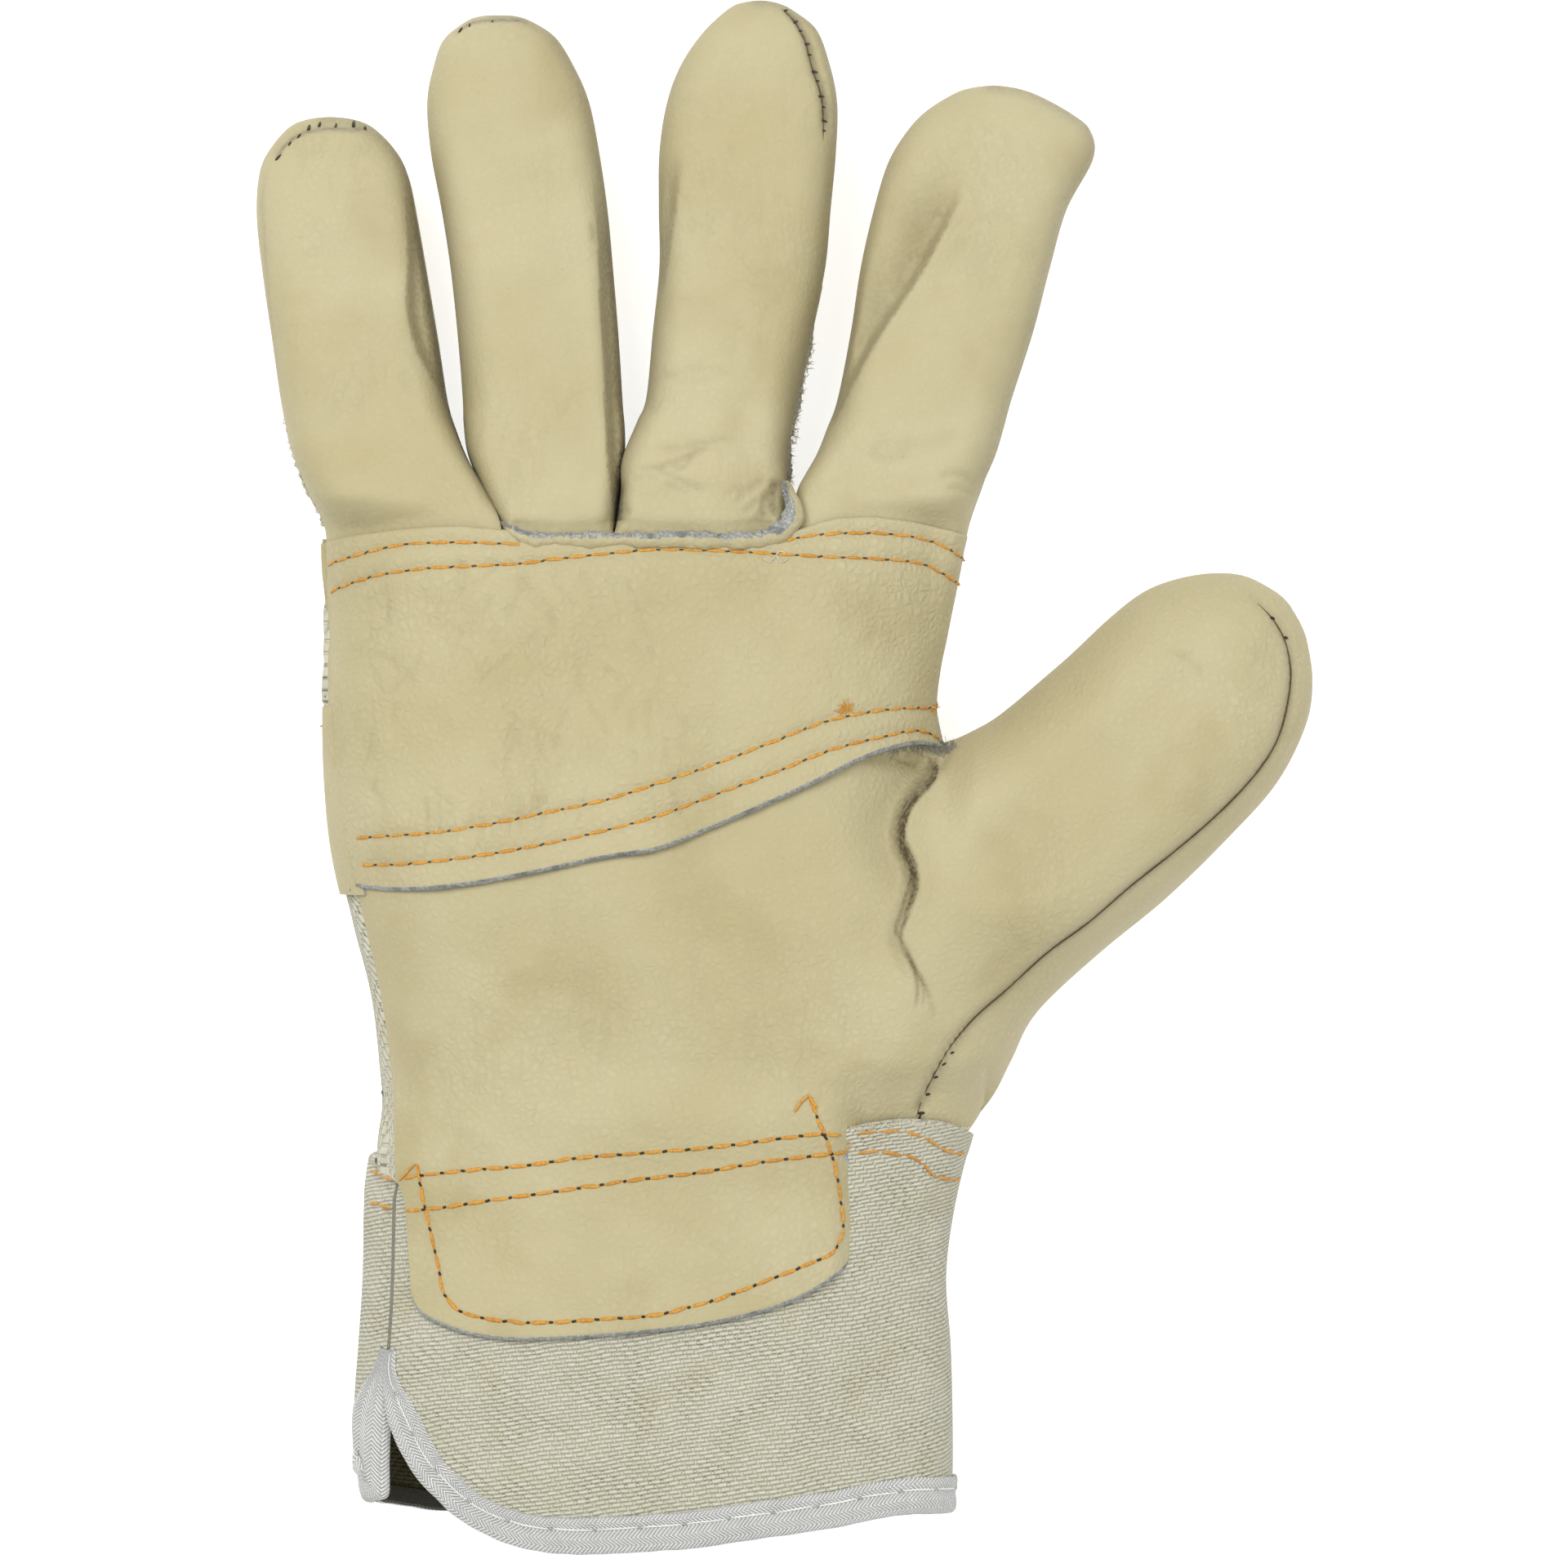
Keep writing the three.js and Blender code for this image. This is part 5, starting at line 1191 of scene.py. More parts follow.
backSheets = [sheetOf(backX, backY, backZ, cloth=handCloth(backX, backY, backZ)),
              sheetOf(wrapX, wrapY, wrapZ, cloth=wrapCloth)]
for f, name in enumerate(["little", "ring", "middle"]):
    x, y = fingerGrid(name, back["topY"], jointY[name] + 1.5, fingerCut["backStep"], back["fingerColumns"],
                      False)
    z = fingerBack(name, x, y)
    x, y = tucked(x, y, 0.4)
    first = f * (back["fingerColumns"] - 1)
    x[0] = backX[0, first:first + back["fingerColumns"]]
    y[0] = backY[0, first:first + back["fingerColumns"]]
    z[0] = backZ[0, first:first + back["fingerColumns"]]
    backSheets.append(sheetOf(x, y, z, cloth=np.stack([x, y, z * 0], axis=-1)))
gloveBack = makePiece("back_cloth", backSheets, back["wall"], canvasSet)
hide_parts("back_canvas")

# Back of the thumb
thumbBackX, thumbBackY = thumbX[::2, ::2].copy(), thumbY[::2, ::2].copy()
thumbBackX[-1], thumbBackY[-1] = thumbX[-1, ::2], thumbY[-1, ::2]
thumbUnder = handBack(thumbBackX, thumbBackY) - 0.2
piece = makePiece("thumb_back_leather", [sheetOf(thumbBackX, thumbBackY, thumbUnder)], palm["wall"],
                  leatherSet)
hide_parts("thumb_back")

# Knuckle strap: from the seam beside the patch round the back to the other side
strap = {"top": 12.5, "slope": 24.5, "width": 32.0, "rows": 44, "wall": 1.2}
strapAcross = np.r_[-(np.linspace(1, 0, 14)[:-1] ** 1.5), backAcross]
strapDown = np.linspace(0, 1, strap["rows"])[:, None]
positive = np.clip(strapAcross, 0, 1)[None, :]
strapY = np.maximum(strap["top"] + strap["slope"] * positive - strap["width"] * strapDown,
                    mix(-19.4, patchEdge(positive) + 0.4, smoothStep(positive * 8)) + 0 * strapDown)
strapLeft = handLeft(strapY)
strapX = np.where(strapAcross[None, :] < 0, mix(strapLeft, seamLeft(strapY) + 1.4, -strapAcross[None, :]),
                  mix(strapLeft, rightOf(strapY), positive))
frontZ = palmBase(strapX, strapY)
underPatch = smoothStep((-strapAcross[None, :] - 0.65) / 0.25)
strapZ = np.where(strapAcross[None, :] < 0, frontZ + 1.2 - 0.8 * underPatch,
                  handBack(strapX, strapY) - 1.75)
strapZ = np.maximum(strapZ, 0.05)
strapX = strapX - 0.9 * np.exp(-((strapX - strapLeft) / 3.0) ** 2)
strapSheet = sheetOf(strapX, strapY, strapZ)
gloveStrap = makePiece("strap_leather", [strapSheet], strap["wall"], leatherSet, coreX=-20)
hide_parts("knuckle_strap")
print("Back, thumb back and strap done")


# Rolled seam at the base of the ring and middle fingers, with a raw upper edge that curls up at its end
welt = {"path": fromPhoto([(615, 640), (630, 652), (652, 660), (690, 661), (732, 661), (775, 661),
                           (818, 661), (862, 662), (904, 662), (936, 659), (957, 650), (970, 636),
                           (972, 620), (966, 604), (962, 588)], 34),
        "wide": [0.25, 0.9, 1.2, 1.15, 1.3, 1.2, 1.35, 1.5, 1.3, 1.5, 1.65, 1.65, 1.35, 1.0, 0.4],
        "sides": [(-1.0, -0.2), (-1.02, 0.45), (-0.75, 0.95), (-0.2, 1.25), (0.25, 1.3), (0.55, 1.22),
                  (0.8, 1.0), (1.0, 0.55), (1.02, -0.1), (0.6, -0.9), (-0.5, -0.9)]}
weltDense = smoothLine(np.column_stack([welt["path"], welt["wide"]]), 0.5)
weltDense[:, 2] *= 1 + 0.2 * softNoise(weltDense[:, 0], weltDense[:, 1], 3.0, 61)
weltDense[:, 1] += 0.16 * softNoise(weltDense[:, 0], weltDense[:, 1], 7.0, 62)
weltWay = np.gradient(weltDense[:, :2], axis=0)
weltWay /= np.linalg.norm(weltWay, axis=1, keepdims=True)
weltOut = np.column_stack([-weltWay[:, 1], weltWay[:, 0]])
weltBase = palmBase(weltDense[:, 0], np.minimum(weltDense[:, 1], 44)) + 0.9
weltBase -= smoothStep((weltDense[:, 1] - 46) / 8) * 3.0
weltPoints = []
weltRng = np.random.default_rng(8)
for k, (x, y, wide) in enumerate(weltDense):
    for across, up in welt["sides"]:
        rough = weltRng.normal(0, 0.13, 3) if across > 0.2 else np.zeros(3)
        weltPoints.append((x + weltOut[k, 0] * across * wide + rough[0],
                           y + weltOut[k, 1] * across * wide + rough[1],
                           weltBase[k] + up * (0.5 + 0.75 * wide) + rough[2]))
n = len(welt["sides"])
weltFaces = []
weltSlots = []
for k in range(len(weltDense) - 1):
    for j in range(n):
        a, b = k * n + j, k * n + (j + 1) % n
        weltFaces.append((a, b, b + n, a + n))
        curled = weltDense[k, 0] > -1.5
        weltSlots.append(1 if 4 <= j <= 8 or (curled and j == 3) else 0)  # the raw edge and the underside
weltFaces.append(tuple(range(n))[::-1])
weltFaces.append(tuple(range((len(weltDense) - 1) * n, len(weltDense) * n)))
weltSlots += [0, 1]
gloveWelt = plainPiece("base_seam_roll", weltPoints, weltFaces, [leather, rawEdge], weltSlots)
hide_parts("finger_base_seam")


# Cuff: a canvas tube with a slit on the side of the little finger
cuff = {"wall": 1.2, "slitAngle": 148.0, "slitTop": -95.2, "columns": 300, "upperRows": 42,
        "lowerRows": 44, "frontOpen": 12, "backOpen": 8}
cuffTopEdge = smoothCurve([-206, -180, -150, -90, -30, 0, 20, 35, 50, 60, 70, 90, 130, 142, 150, 158, 170,
                           180],
                          [-66.6, -64.4, -63, -62, -61, -60.4, -58.9, -57.4, -57.0, -58.0, -59.8, -62, -62,
                           -64, -66.4, -66.6, -65.4, -64.4])
hem = smoothCurve([-206, -190, -175, -160, -147, -138, -120, -90, -45, -10, 20, 40, 60, 76, 92, 104, 113,
                   121, 129, 135],
                  [-119.8, -120.8, -122.0, -123.2, -124.2, -125.0, -125.3, -125.4, -124.8, -123.6, -122.4,
                   -122, -123.6, -125.2, -127.2, -127.6, -126.8, -124.8, -121.2, -117])
slitFront = smoothCurve([0, 0.2, 0.45, 0.7, 1], [0, -1.0, 1.0, 5.0, cuff["frontOpen"]])
slitBack = smoothCurve([0, 0.2, 0.45, 0.7, 1], [0, 1.0, 2.2, 4.4, cuff["backOpen"]])


def cuffSurface(angle, y, out=0.0):
    turn = np.radians(angle)
    c, n = np.cos(turn), np.sin(turn)
    power = np.where(n >= 0, 0.8, 2 / 3.0)
    half = (cuffRight(y) - cuffLeft(y)) / 2
    x = (cuffLeft(y) + cuffRight(y)) / 2 + (half + out) * np.sign(c) * abs(c) ** power
    height = np.where(n >= 0, cuffTopZ(y) - cuffSeam(y), cuffSeam(y) - cuffBackZ(y) + 1.0) + out
    z = cuffSeam(y) + height * np.sign(n) * abs(n) ** power
    z = z + cuffWaves(x, y) * np.clip(n * 2, 0, 1)
    return x, np.maximum(z, cuffBackZ(y) - out)


ringAngles = np.linspace(-360, 360, 4001)
ringX, ringZ = cuffSurface(ringAngles, np.full(ringAngles.shape, -110.0))
ringLength = np.r_[0, np.cumsum(np.hypot(np.diff(ringX), np.diff(ringZ)))]
ringLength -= np.interp(90, ringAngles, ringLength)
lengthAt = lambda angle: np.interp(angle, ringAngles, ringLength)
angleAt = lambda length: np.interp(length, ringLength, ringAngles)

fullPart = np.linspace(lengthAt(cuff["slitAngle"]), lengthAt(cuff["slitAngle"] - 360), cuff["columns"])
fullAngles = angleAt(fullPart)
upper = np.linspace(0, 1, cuff["upperRows"])[:, None]
upperY = mix(cuffTopEdge(np.where(fullAngles < -180, fullAngles + 360, fullAngles))[None, :],
             cuff["slitTop"], upper)
upperAngle = np.repeat(fullAngles[None, :], cuff["upperRows"], axis=0)
lower = np.linspace(0, 1, cuff["lowerRows"])[1:, None]
frontEnd = cuff["slitAngle"] - slitFront(lower)
backEnd = cuff["slitAngle"] - 360 + slitBack(lower)
columnPart = np.linspace(0, 1, cuff["columns"])[None, :]
lowerAngle = angleAt(mix(lengthAt(frontEnd), lengthAt(backEnd), columnPart))
hemAngle = angleAt(mix(lengthAt(cuff["slitAngle"] - cuff["frontOpen"]),
                       lengthAt(cuff["slitAngle"] - 360 + cuff["backOpen"]), columnPart))
lowerY = mix(cuff["slitTop"], hem(hemAngle), lower)
cuffAngle = np.vstack([upperAngle, lowerAngle])
cuffY = np.vstack([upperY, lowerY])
cuffX, cuffZ = cuffSurface(cuffAngle, cuffY)
cuffLong = lengthAt(cuffAngle)
# Turned hem along the top, a little proud
hemBand = np.exp(-((cuffY - upperY[:1]) / 3.2) ** 4)
hemOut = 0.35 - 1.5 * np.exp(-(((np.where(cuffAngle < -90, cuffAngle + 360, cuffAngle) - 162) / 16) ** 2))
x2, z2 = cuffSurface(cuffAngle, cuffY, hemOut)
cuffX, cuffZ = mix(cuffX, x2, hemBand), mix(cuffZ, z2, hemBand)
cuffCreases = [fold([(24.3, -70), (23.8, -78), (24.6, -86)], 1.3, 0.7, 0.1),
               fold([(20, -64), (21, -70), (19, -77)], 1.5, 0.4),
               fold([(-66.6, -68), (-66.4, -80), (-66.4, -94)], 0.8, 0.9, 0.5, 0.02, 0.02),
               fold([(27, -66), (26, -70), (27, -74)], 1.0, 0.5, 0.1),
               fold([(-69, -66), (-69.5, -76), (-69, -90)], 1.2, 0.4)]
creaseLift, creaseDark = relief(cuffX, cuffY, cuffCreases)
facingUp = np.clip(np.sin(np.radians(cuffAngle)) * 3, 0, 1)
cuffZ = cuffZ + creaseLift * facingUp
cuffCloth = np.stack([-cuffLong, cuffY, cuffZ * 0], axis=-1)
gloveCuff = makePiece("cuff_cloth", [sheetOf(cuffX, cuffY, cuffZ, creaseDark * facingUp, cuffCloth)],
                      cuff["wall"], canvasSet, coreX=-22, coreZ=20)
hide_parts("cuff_canvas")

# Tape folded over the hem and both edges of the slit, laid along the unrolled edge of the cuff
binding = {"width": 5.4, "out": 0.75, "wall": 0.45, "step": 0.7}
slitDown = np.linspace(0.0, 1, 60)
backEndAngle = cuff["slitAngle"] - 360 + cuff["backOpen"]
frontEndAngle = cuff["slitAngle"] - cuff["frontOpen"]
hemAngles = angleAt(np.linspace(lengthAt(backEndAngle), lengthAt(frontEndAngle), 360))[1:-1]
edgeAngle = np.r_[cuff["slitAngle"] - 360 + slitBack(slitDown), hemAngles,
                  (cuff["slitAngle"] - slitFront(slitDown))[::-1]]
edgeHemY = np.r_[mix(cuff["slitTop"], hem(backEndAngle), slitDown), hem(hemAngles),
                 mix(cuff["slitTop"], hem(frontEndAngle), slitDown)[::-1]]
edgePath = smoothLine(np.column_stack([lengthAt(edgeAngle), edgeHemY]), binding["step"])
for _ in range(6):
    edgePath[1:-1] = (edgePath[:-2] + edgePath[1:-1] * 2 + edgePath[2:]) / 4
edgeWay = np.gradient(edgePath, axis=0)
edgeWay /= np.linalg.norm(edgeWay, axis=1, keepdims=True)
edgeIn = np.column_stack([-edgeWay[:, 1], edgeWay[:, 0]])
tapeWidths = np.linspace(1, 0, 12)
tapeSection = [(binding["width"] * 1.03, 0.12)]  # the edge lies on the cloth
tapeSection += [(w * binding["width"], binding["out"] + 0.12 * math.sin(w * 9)) for w in tapeWidths]
tapeSection += [(-0.45, 0.35), (-0.62, -0.45), (-0.45, -1.35)]
tapeSection += [(w * binding["width"] * 0.5, -cuff["wall"] - 0.65) for w in tapeWidths[::-1]]
tapeX, tapeY, tapeZ, tapeCloth = [], [], [], []
edgeWalk = np.arange(len(edgePath)) * binding["step"]
edgeNoise = softNoise(edgeWalk, np.zeros(len(edgePath)), 5, 77)
acrossTape = 0.0
# Narrow at both ends in the slit, wider on the slit's back edge
tapeTaper = 0.25 + 0.75 * smoothStep(np.minimum(edgeWalk, edgeWalk[-1] - edgeWalk) / 14)
tapeTaper *= 1 + 0.45 * smoothStep(edgeWalk / 8) * (1 - smoothStep((edgeWalk - 28) / 14))
for k, (inward, out) in enumerate(tapeSection):
    ripple = edgeNoise * (0.16 if inward > 3 else 0.08)
    away = (inward * tapeTaper if inward > 0 else inward) + ripple
    length = edgePath[:, 0] + edgeIn[:, 0] * away
    y = edgePath[:, 1] + edgeIn[:, 1] * away
    x, z = cuffSurface(angleAt(length), y, out)
    tapeX.append(x)
    tapeY.append(y)
    tapeZ.append(np.maximum(z, 0.5 if out > 0 else 0.9))
    tapeCloth.append(np.column_stack([edgeWalk, np.full(len(x), acrossTape), 0 * x]))
    acrossTape += binding["width"] / len(tapeWidths)
tapeSheet = sheetOf(np.array(tapeX), np.array(tapeY), np.array(tapeZ), cloth=np.array(tapeCloth))
tapeSheet["raw"][len(tapeWidths) + 3:] = True  # the half inside the cuff, which gets the painted shade
gloveTape = makePiece("cuff_tape", [tapeSheet], binding["wall"], [tape, tapeInsideShade, tape], -22,
                      20)
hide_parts("cuff_binding")
print("Cuff and binding done")


# Stitches

stitch = {"pitch": 3.85, "gap": 0.4, "radius": 0.25, "steps": 9, "crossing": 0.17, "dot": 0.34}


def tube(parts, centres, radii, up, material, sides=8):
    # A closed thread along its centres, a little flattened
    points, faces, slots = parts
    way = np.gradient(centres, axis=0)
    way /= np.maximum(np.linalg.norm(way, axis=1, keepdims=True), 1e-9)
    across = np.cross(way, up)
    across /= np.maximum(np.linalg.norm(across, axis=1, keepdims=True), 1e-9)
    over = np.cross(across, way)
    start = len(points)
    for k, centre in enumerate(centres):
        for j in range(sides):
            turn = 2 * math.pi * j / sides
            rim = across[k] * math.cos(turn) * 1.1 + over[k] * math.sin(turn) * 0.8
            points.append(centre + radii[k] * rim)
    for k in range(len(centres) - 1):
        for j in range(sides):
            a, b = start + k * sides + j, start + k * sides + (j + 1) % sides
            faces.append((a, a + sides, b + sides, b))
            slots.append(material)
    faces.append(tuple(start + j for j in range(sides)))
    last = start + (len(centres) - 1) * sides
    faces.append(tuple(last + j for j in reversed(range(sides))))
    slots.extend([material, material])


def stitchRow(parts, places, ups, crossing, rng, look):
    # Thread segments along 3-D places, each dipping into its needle holes
    walked = np.r_[0, np.cumsum(np.linalg.norm(np.diff(places, axis=0), axis=1))]
    count = max(1, round(walked[-1] / look["pitch"]))
    pitch = walked[-1] / count

    def placeAt(s):
        return np.column_stack([np.interp(s, walked, places[:, k]) for k in range(3)])

    def upAt(s):
        up = np.column_stack([np.interp(s, walked, ups[:, k]) for k in range(3)])
        return up / np.linalg.norm(up, axis=1, keepdims=True)

    for i in range(count):
        gap = look["gap"] * rng.uniform(0.8, 1.2)
        s = np.linspace(i * pitch + gap / 2, (i + 1) * pitch - gap / 2, look["steps"])
        t = np.linspace(-1, 1, look["steps"])
        up = upAt(s)
        centres = placeAt(s)
        side = np.cross(np.gradient(centres, axis=0), up)
        side /= np.maximum(np.linalg.norm(side, axis=1, keepdims=True), 1e-9)
        lean = rng.normal(0, 0.09)
        lift = look["radius"] * (0.9 * (1 - abs(t) ** 3.2) - 0.55)
        centres = centres + up * lift[:, None] + side * (lean * t)[:, None]
        twist = 1 + 0.1 * np.sin(np.arange(look["steps"]) * 2.4 + rng.uniform(0, 6))
        radii = look["radius"] * (0.5 + 0.5 * (1 - abs(t) ** 3)) * twist * rng.uniform(0.85, 1.12)
        tube(parts, centres, radii, up, 0)
        if crossing and i > 0:
            middle = placeAt(np.array([i * pitch]))[0]
            up = upAt(np.array([i * pitch]))
            way = placeAt(np.array([i * pitch + 0.3]))[0] - middle
            way /= np.linalg.norm(way)
            side = np.cross(way, up[0])
            slant = way + side * rng.uniform(-0.35, 0.2)
            t = np.linspace(-look["dot"], look["dot"], 5)
            centres = middle + slant * t[:, None] * rng.uniform(0.7, 1.2)
            centres = centres + up * (0.12 - 0.3 * t[:, None] ** 2)
            tube(parts, centres, np.full(5, look["crossing"]), np.repeat(up, 5, axis=0), 1)


def sewn(name, routes, threads, look=stitch, seed=1):
    # One piece with every row of a seam; the second finish makes the dark dots at the needle holes, painted
    # shade of the holes
    rng = np.random.default_rng(seed)
    parts = [], [], []
    for places, ups in routes:
        stitchRow(parts, places, ups, len(threads) > 1, rng, look)
    return plainPiece(name, parts[0], parts[1], threads, parts[2])


def marked(name, marks, surface, thread, seed=1):
    # Single short stitches: photo place, direction in degrees, length and radius in millimetres
    rng = np.random.default_rng(seed)
    parts = [], [], []
    for px, py, degrees, length, radius in marks:
        middle = fromPhoto([(px, py)], surface)[0]
        turn = math.radians(degrees + rng.uniform(-8, 8))
        t = np.linspace(-0.5, 0.5, 6) * length
        x, y = middle[0] + t * math.cos(turn), middle[1] + t * math.sin(turn)
        z = surface(x, y)
        z = np.minimum(z, np.median(z) + 0.4) + radius * (0.7 - 1.2 * (t / length * 2) ** 2)
        radii = radius * (1 - 0.5 * (t / length * 2) ** 4)
        tube(parts, np.column_stack([x, y, z]), radii, np.repeat([[0.0, 0.0, 1.0]], 6, axis=0), 0)
    return plainPiece(name, parts[0], parts[1], [thread], parts[2])


def onSurface(line, surface, lift=0.0):
    line = smoothLine(line, 0.5)
    x, y = line[:, 0], line[:, 1]
    z = surface(x, y)
    zx = (surface(x + 0.3, y) - surface(x - 0.3, y)) / 0.6
    zy = (surface(x, y + 0.3) - surface(x, y - 0.3)) / 0.6
    ups = np.column_stack([-zx, -zy, np.ones(len(x))])
    return np.column_stack([x, y, z + lift]), ups


def topOnly(surface):
    return lambda x, y: surface(x, y)[0]


def onTape(inward, out):
    # Line that runs along the front of the tape
    start = np.argmax(edgeWalk > edgeWalk[-1] * 0.47)
    taper = tapeTaper[start:]
    length = edgePath[start:, 0] + edgeIn[start:, 0] * inward * taper
    y = edgePath[start:, 1] + edgeIn[start:, 1] * inward * taper
    x, z = cuffSurface(angleAt(length), y, out)
    upX, upZ = cuffSurface(angleAt(length), y, out + 1)
    return np.column_stack([x, y, z]), np.column_stack([upX - x, 0 * x, np.maximum(upZ - z, 0.01)])


sewn("patch_stitches", [onSurface(line, topOnly(patchTop)) for line in seamRows.values()],
     [orangeThread, needleHoleShade], {**stitch, "crossing": 0.14, "gap": 0.3}, 3)

wristRows = {
    "upper": [(-63.6, -66.6), (-61.2, -66.2), (-53.1, -65.1), (-42, -64), (-35, -62.9), (-24.4, -62),
              (-11.1, -60.9), (-0.1, -59.5), (6.6, -58.9), (10.0, -59.2)],
    "lower": [(-63.4, -72.1), (-58.2, -71.5), (-50.4, -70.2), (-37.9, -68.4), (-24.4, -66.4),
              (-14.7, -65.3), (-2.9, -63.4), (5.1, -62.5), (11.0, -62.0)],
    "tongue": [(-61.1, -63.8), (-60.5, -67.6), (-58.8, -75), (-58, -78.3), (-57.2, -81.5), (-56.4, -85.3),
               (-54, -88.0), (-50.7, -89.1), (-44.8, -89.9), (-37, -89.9), (-29.5, -89.3), (-21.3, -88.7),
               (-14, -87), (-10.4, -86), (-3.3, -83.3), (4.4, -80.3), (8.4, -78.4), (9.9, -75.2),
               (9.6, -70.2), (8.5, -63.7), (7.3, -60), (5.5, -55.5), (4.4, -52.3)],
}
sewn("wrist_stitches", [onSurface(line, topOnly(palmTop)) for line in wristRows.values()],
     [orangeThread, darkThreadAndHoleShade], {**stitch, "radius": 0.29, "crossing": 0.2}, 13)
looseEnds = [[(4.4, -52.3), (2.9, -53.6), (2.0, -55.2)], [(4.3, -52.2), (4.9, -53.4), (5.8, -54.4)],
             fromPhoto([(506, 1428), (500, 1433), (492, 1442), (484, 1450)], 38),
             fromPhoto([(1042, 1412), (1048, 1400), (1043, 1388), (1048, 1376)], 38)]
sewn("thread_ends", [onSurface(line, topOnly(palmTop), 0.25) for line in looseEnds], [orangeThread],
     {**stitch, "pitch": 9.0, "gap": 0.05, "radius": 0.22}, 17)

cuffTop = lambda x, y: cuffFront(x, y) + 0.3
cuffSeams = {
    "hemRight": fromPhoto([(1046, 1388), (1082, 1385), (1111, 1386), (1131, 1393), (1147, 1402),
                           (1168, 1412), (1182, 1412)], cuffTop),
    "lowerRight": fromPhoto([(1049, 1412), (1076, 1410), (1100, 1414), (1131, 1425), (1136, 1433),
                             (1147, 1440), (1163, 1444), (1176, 1444)], cuffTop),
    "hemLeft": fromPhoto([(453, 1434), (462, 1436), (470, 1441), (484, 1446)], cuffTop),
    "lowerLeft": fromPhoto([(451, 1472), (460, 1474), (470, 1477), (480, 1479)], cuffTop),
}
sewn("cuff_stitches", [onSurface(line, cuffTop) for line in cuffSeams.values()], [orangeThread],
     {**stitch, "radius": 0.24, "pitch": 4.2, "gap": 0.5}, 23)
sewn("tape_stitches", [onTape(3.6, binding["out"] + 0.02)], [whiteThread, dimpleShade],
     {**stitch, "radius": 0.13, "pitch": 7.4, "gap": 0.9, "crossing": 0.15}, 29)

strapTop = lambda x, y: np.maximum(palmBase(x, y) + 1.25, 16)
sewn("strap_stitches", [onSurface(fromPhoto(line, 18), strapTop) for line in (
    [(390, 890), (396, 888), (402, 886)], [(423, 1085), (429, 1083), (436, 1079)])],
    [orangeThread], {**stitch, "radius": 0.22, "gap": 0.2}, 31)

tipMarks = {
    "little_tip_stitches": ("little", [
        (341, 193, 45, 1.5, 0.22), (355, 176, 60, 0.9, 0.2), (366, 167, 70, 1.0, 0.2),
        (378, 158, 80, 1.7, 0.26), (391, 154, 85, 1.5, 0.22), (411, 155, 90, 1.5, 0.18),
        (433, 154, 90, 2.1, 0.26), (447, 157, 100, 0.9, 0.2)]),
    "ring_tip_stitches": ("ring", [(564, 37, 60, 1.2, 0.2), (575, 31, 80, 0.8, 0.16),
                                   (603, 26, 90, 0.7, 0.14)]),
    "middle_tip_stitches": ("middle", [
        (962, 13, 40, 0.9, 0.18), (974, 27, 35, 1.1, 0.2), (980, 38, 25, 0.7, 0.16),
        (988, 54, 20, 1.1, 0.2), (991, 67, 15, 0.8, 0.16), (997, 88, 15, 1.2, 0.22),
        (1001, 99, 15, 0.7, 0.16), (1005, 118, 10, 1.2, 0.2), (1008, 131, 5, 0.7, 0.16),
        (1009, 148, 0, 1.1, 0.18), (1009, 160, 0, 0.6, 0.14)]),
}
for name, (finger, marks) in tipMarks.items():
    marked(name, marks, lambda x, y: fingerTop(finger, x, y)[0], darkThreadAndHoleShade)
marked("thumb_seam_stitches", [
    (1558, 757, -20, 0.9, 0.24), (1574, 781, -10, 0.9, 0.24), (1166, 1289, 25, 0.8, 0.17),
    (1156, 1303, 25, 0.8, 0.17), (1146, 1319, 15, 0.8, 0.18), (1136, 1340, 10, 0.9, 0.2),
    (1128, 1363, 0, 1.2, 0.24), (1126, 1368, 70, 0.9, 0.18)],
    topOnly(palmTop), darkThreadAndHoleShade)

# The sunk thread of the closed seams, a thin dark line
seamLines = {
    "thumb_seam_line": (thumbSeamLine[3:], topOnly(palmTop), 0.17),
    "middle_seam_line": (tipSeams["middle"], lambda x, y: fingerTop("middle", x, y)[0], 0.11),
}
for name, (line, surface, radius) in seamLines.items():
    places, ups = onSurface(line, surface, radius * 0.4)
    t = np.linspace(0, 1, len(places))
    ends = np.minimum(1, np.minimum(t, 1 - t) * 12 + 0.2)
    uneven = radius * (1 + 0.25 * np.sin(t * 61) * np.sin(t * 23)) * ends
    parts = [], [], []
    tube(parts, places, uneven, ups, 0, 6)
    plainPiece(name, parts[0], parts[1], [seamThread], parts[2])
print("Stitches done")


# Frayed edges: loose fibres of the suede and of the canvas

def fringe(name, edges, finish, seed):
    # For each edge: line, surface, how many fibres, their length, how far they stray, direction and lift
    rng = np.random.default_rng(seed)
    parts = [], [], []
    t = np.linspace(0, 1, 5)
    for line, surface, count, length, stray, degrees, lift in edges:
        line = smoothLine(line, 0.3)
        start = line[rng.integers(0, len(line), count)] + rng.normal(0, stray, (count, 2))
        turn = np.radians(degrees + rng.normal(0, 48, (count, 1))) + rng.normal(0, 0.9, (count, 1)) * t
        reach = length * rng.uniform(0.4, 1.3, (count, 1))
        x = start[:, :1] + reach * t * np.cos(turn)
        y = start[:, 1:] + reach * t * np.sin(turn)
        z = surface(x, y) + lift + reach * rng.uniform(-0.1, 0.35, (count, 1)) * t
        z = np.minimum(z, z[:, :1] + 0.5)
        for k in range(count):
            centres = np.column_stack([x[k], y[k], z[k]])
            tube(parts, centres, rng.uniform(0.05, 0.09) * (1 - 0.6 * t),
                 np.repeat([[0.0, 0.0, 1.0]], 5, axis=0), 0, 4)
    return plainPiece(name, parts[0], parts[1], [finish], parts[2])


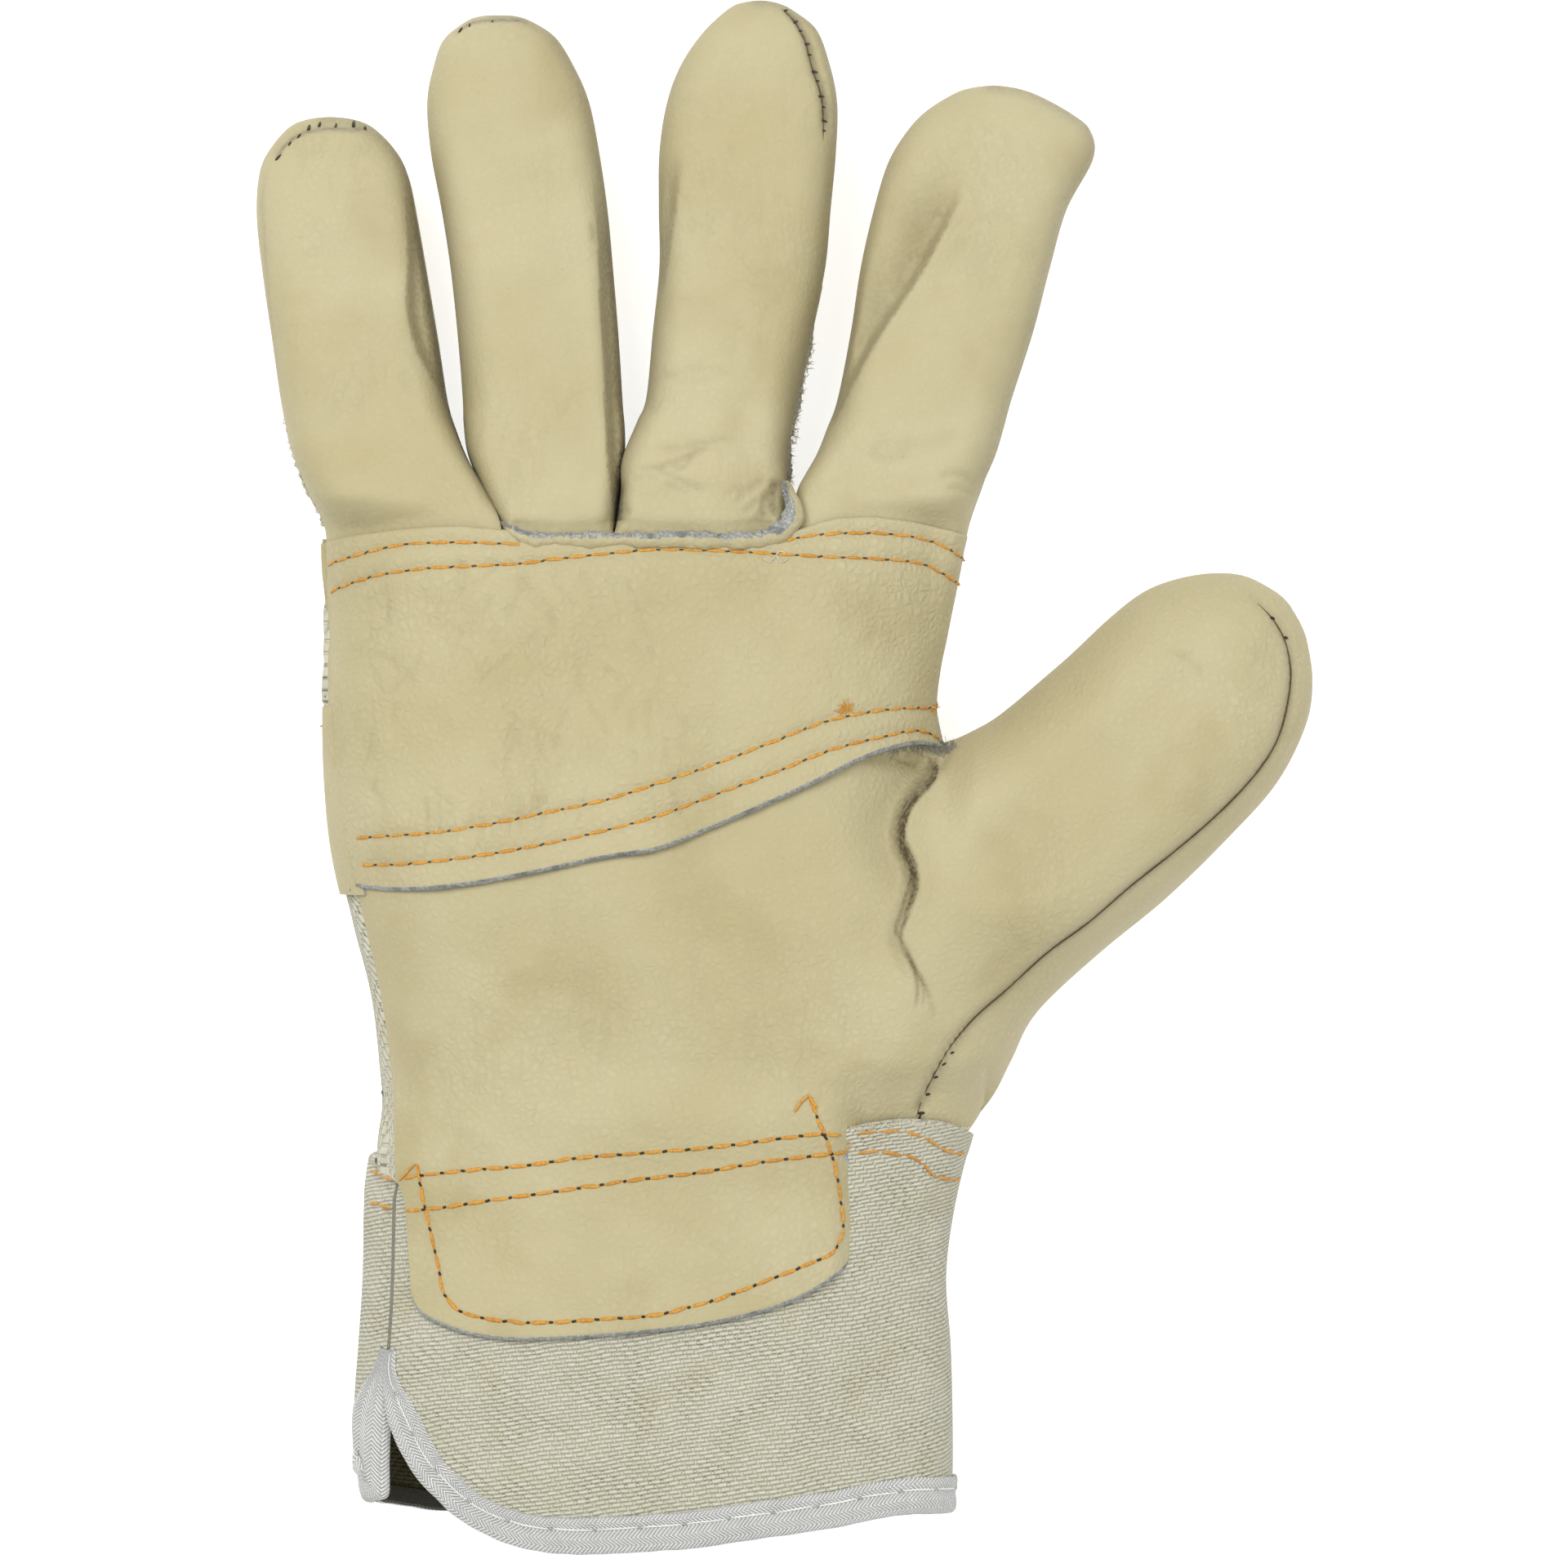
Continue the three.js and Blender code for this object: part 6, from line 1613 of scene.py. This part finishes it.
onPalm, onPatch = topOnly(palmTop), topOnly(patchTop)
crotchLine = fromPhoto([(1080, 911), (1104, 907), (1128, 907), (1150, 912), (1160, 917)], 34)
fringe("suede_fibres", [
    (crotchLine, onPalm, 380, 1.8, 0.5, -60, 0.4),
    (fromPhoto([(1140, 914), (1156, 918), (1168, 915)], 33), onPalm, 90, 1.4, 0.35, 10, 0.1),
    (patchBottomLine[:-2], onPatch, 420, 0.55, 0.12, -80, -0.9),
    (tongueEnd, onPalm, 220, 0.5, 0.12, -90, -0.6), (tongueRight, onPalm, 60, 0.5, 0.12, 0, -0.6),
    (weltDense[:, :2] + weltOut * weltDense[:, 2:] * 0.5, lambda x, y: palmBase(x, np.minimum(y, 44)), 420,
     0.7, 0.2, 80, 2.3),
], fibre, 41)
fringe("orange_tufts", [
    (fromPhoto([(1031, 873), (1041, 868)], 38), onPatch, 30, 1.5, 0.2, 90, 0.15),
    (fromPhoto([(1143, 869), (1149, 865)], 34), onPatch, 26, 1.0, 0.15, 70, 0.1),
    (fromPhoto([(1040, 1408), (1050, 1392)], 38), onPalm, 34, 1.7, 0.3, 80, 0.3),
], orangeThread, 53)
sewn("loose_thread", [onSurface(fromPhoto(line, 39), onPatch, 0.25) for line in (
    [(934, 682), (942, 688), (950, 679), (957, 687), (967, 681)], [(950, 679), (955, 673), (962, 676)])],
    [clothFibre], {**stitch, "pitch": 9.0, "gap": 0.05, "radius": 0.09}, 57)
fringe("cloth_fibres", [
    (fromPhoto([(1045, 1386), (1082, 1380), (1111, 1379), (1140, 1382), (1187, 1390)], 37), cuffTop, 150,
     0.8, 0.15, 80, 0.1),
    (fromPhoto([(455, 1420), (470, 1426), (487, 1437)], 30), cuffTop, 40, 0.7, 0.15, 80, 0.1),
    (fromPhoto([(1050, 1398), (1062, 1392), (1050, 1420)], 38), onPalm, 60, 1.6, 0.5, 30, 0.2),
], clothFibre, 43)


seamHeight = 16.2


def seamCloth(finger, side, low, high, seed):
    # Canvas of the back that shows beside a finger's seam, with a ragged edge
    outward = 1 if side == "right" else -1
    line = fingerLines[finger][side]
    line = smoothLine(line[(line[:, 1] > low) & (line[:, 1] < high)], 0.4)
    taper = smoothStep((high - line[:, 1:]) / 14)
    away = np.linspace(-1.8, 0.35, 6)[None, :]
    ragged = np.random.default_rng(seed).normal(0, 0.12, (len(line), 1))
    ragged = ragged + 0.3 * softNoise(line[:, :1], line[:, 1:], 6, seed + 1)
    x = line[:, :1] + outward * np.where(away > 0, (away + ragged) * taper - 0.4 * (1 - taper), away)
    y = line[:, 1:] + 0 * away
    z = seamHeight - 0.5 * away + 0 * x
    sheet = sheetOf(x, y, z, cloth=np.stack([y, x, z * 0], axis=-1))
    makePiece(finger + "_seam_cloth", [sheet], 0.6, [canvas] * 3, coreZ=0)
    return line


seamLevel = lambda x, y: seamHeight + 0 * x
fringe("seam_fibres", [
    (seamCloth("middle", "right", 47, 84, 47)[:70], seamLevel, 200, 0.9, 0.25, 10, 0.1),
    (seamCloth("little", "left", 43, 68, 46)[:50], seamLevel, 120, 0.6, 0.2, 190, 0.1),
], clothFibre, 49)
print("Frayed edges done")


# Floor, light and camera

def makeFloor():
    size = 3.0
    mesh = bpy.data.meshes.new("floor")
    mesh.from_pydata([(-size, -size, 0), (size, -size, 0), (size, size, 0), (-size, size, 0)], [],
                     [(0, 1, 2, 3)])
    material, shader, wire = startMaterial("pale floor", **{"Roughness": 0.9, "Specular IOR Level": 0.1,
                                                            "Emission Color": (1, 1, 1, 1),
                                                            "Emission Strength": 0.7})
    place = wire.node("ShaderNodeTexCoord", out=3)
    cloud = wire.node("ShaderNodeTexNoise", {}, {"Vector": place, "Scale": 3.0, "Detail": 2.0})
    colour = (cloud * 0.25).blend((0.6, 0.6, 0.6, 1), (0.57, 0.57, 0.57, 1))
    feed(material, shader, **{"Base Color": colour})
    mesh.materials.append(material)
    floor = bpy.data.objects.new("floor", mesh)
    bpy.context.collection.objects.link(floor)


def makeLight(name, place, target, size, watts):
    data = bpy.data.lights.new(name, "AREA")
    data.shape = "DISK"
    data.size = size
    data.energy = watts
    lamp = bpy.data.objects.new(name, data)
    lamp.location = place
    way = np.array(target, float) - np.array(place, float)
    lamp.rotation_euler = Vector(way).to_track_quat("-Z", "Y").to_euler()
    bpy.context.collection.objects.link(lamp)


makeFloor()
lights = {"key": ((-0.46, 0.5, 1.15), 0.7, 10.6), "top": ((0.3, 0.1, 1.4), 1.2, 5.4),
          "fill": ((0.9, -0.4, 1.0), 1.2, 2.9)}
for name, (place, size, watts) in lights.items():
    makeLight(name, place, (0, 0, 0), size, watts)
world = bpy.data.worlds.new("studio")
world.use_nodes = True
world.node_tree.nodes["Background"].inputs["Color"].default_value = (1, 1, 1, 1)
world.node_tree.nodes["Background"].inputs["Strength"].default_value = 0.5
bpy.context.scene.world = world
bpy.context.scene.view_settings.view_transform = "Standard"

camera = bpy.data.cameras.new("camera")
camera.sensor_width = 36.0
camera.lens = 36.0 * (photo["height"] - photo["sharpAt"]) / (photo["pixel"] * photo["size"])
camera.clip_start = 0.05
eye = bpy.data.objects.new("camera", camera)
eye.location = mm([photo["overX"], photo["overY"], photo["height"]]).tolist()
bpy.context.collection.objects.link(eye)
bpy.context.scene.camera = eye
print("Floor, light and camera done")
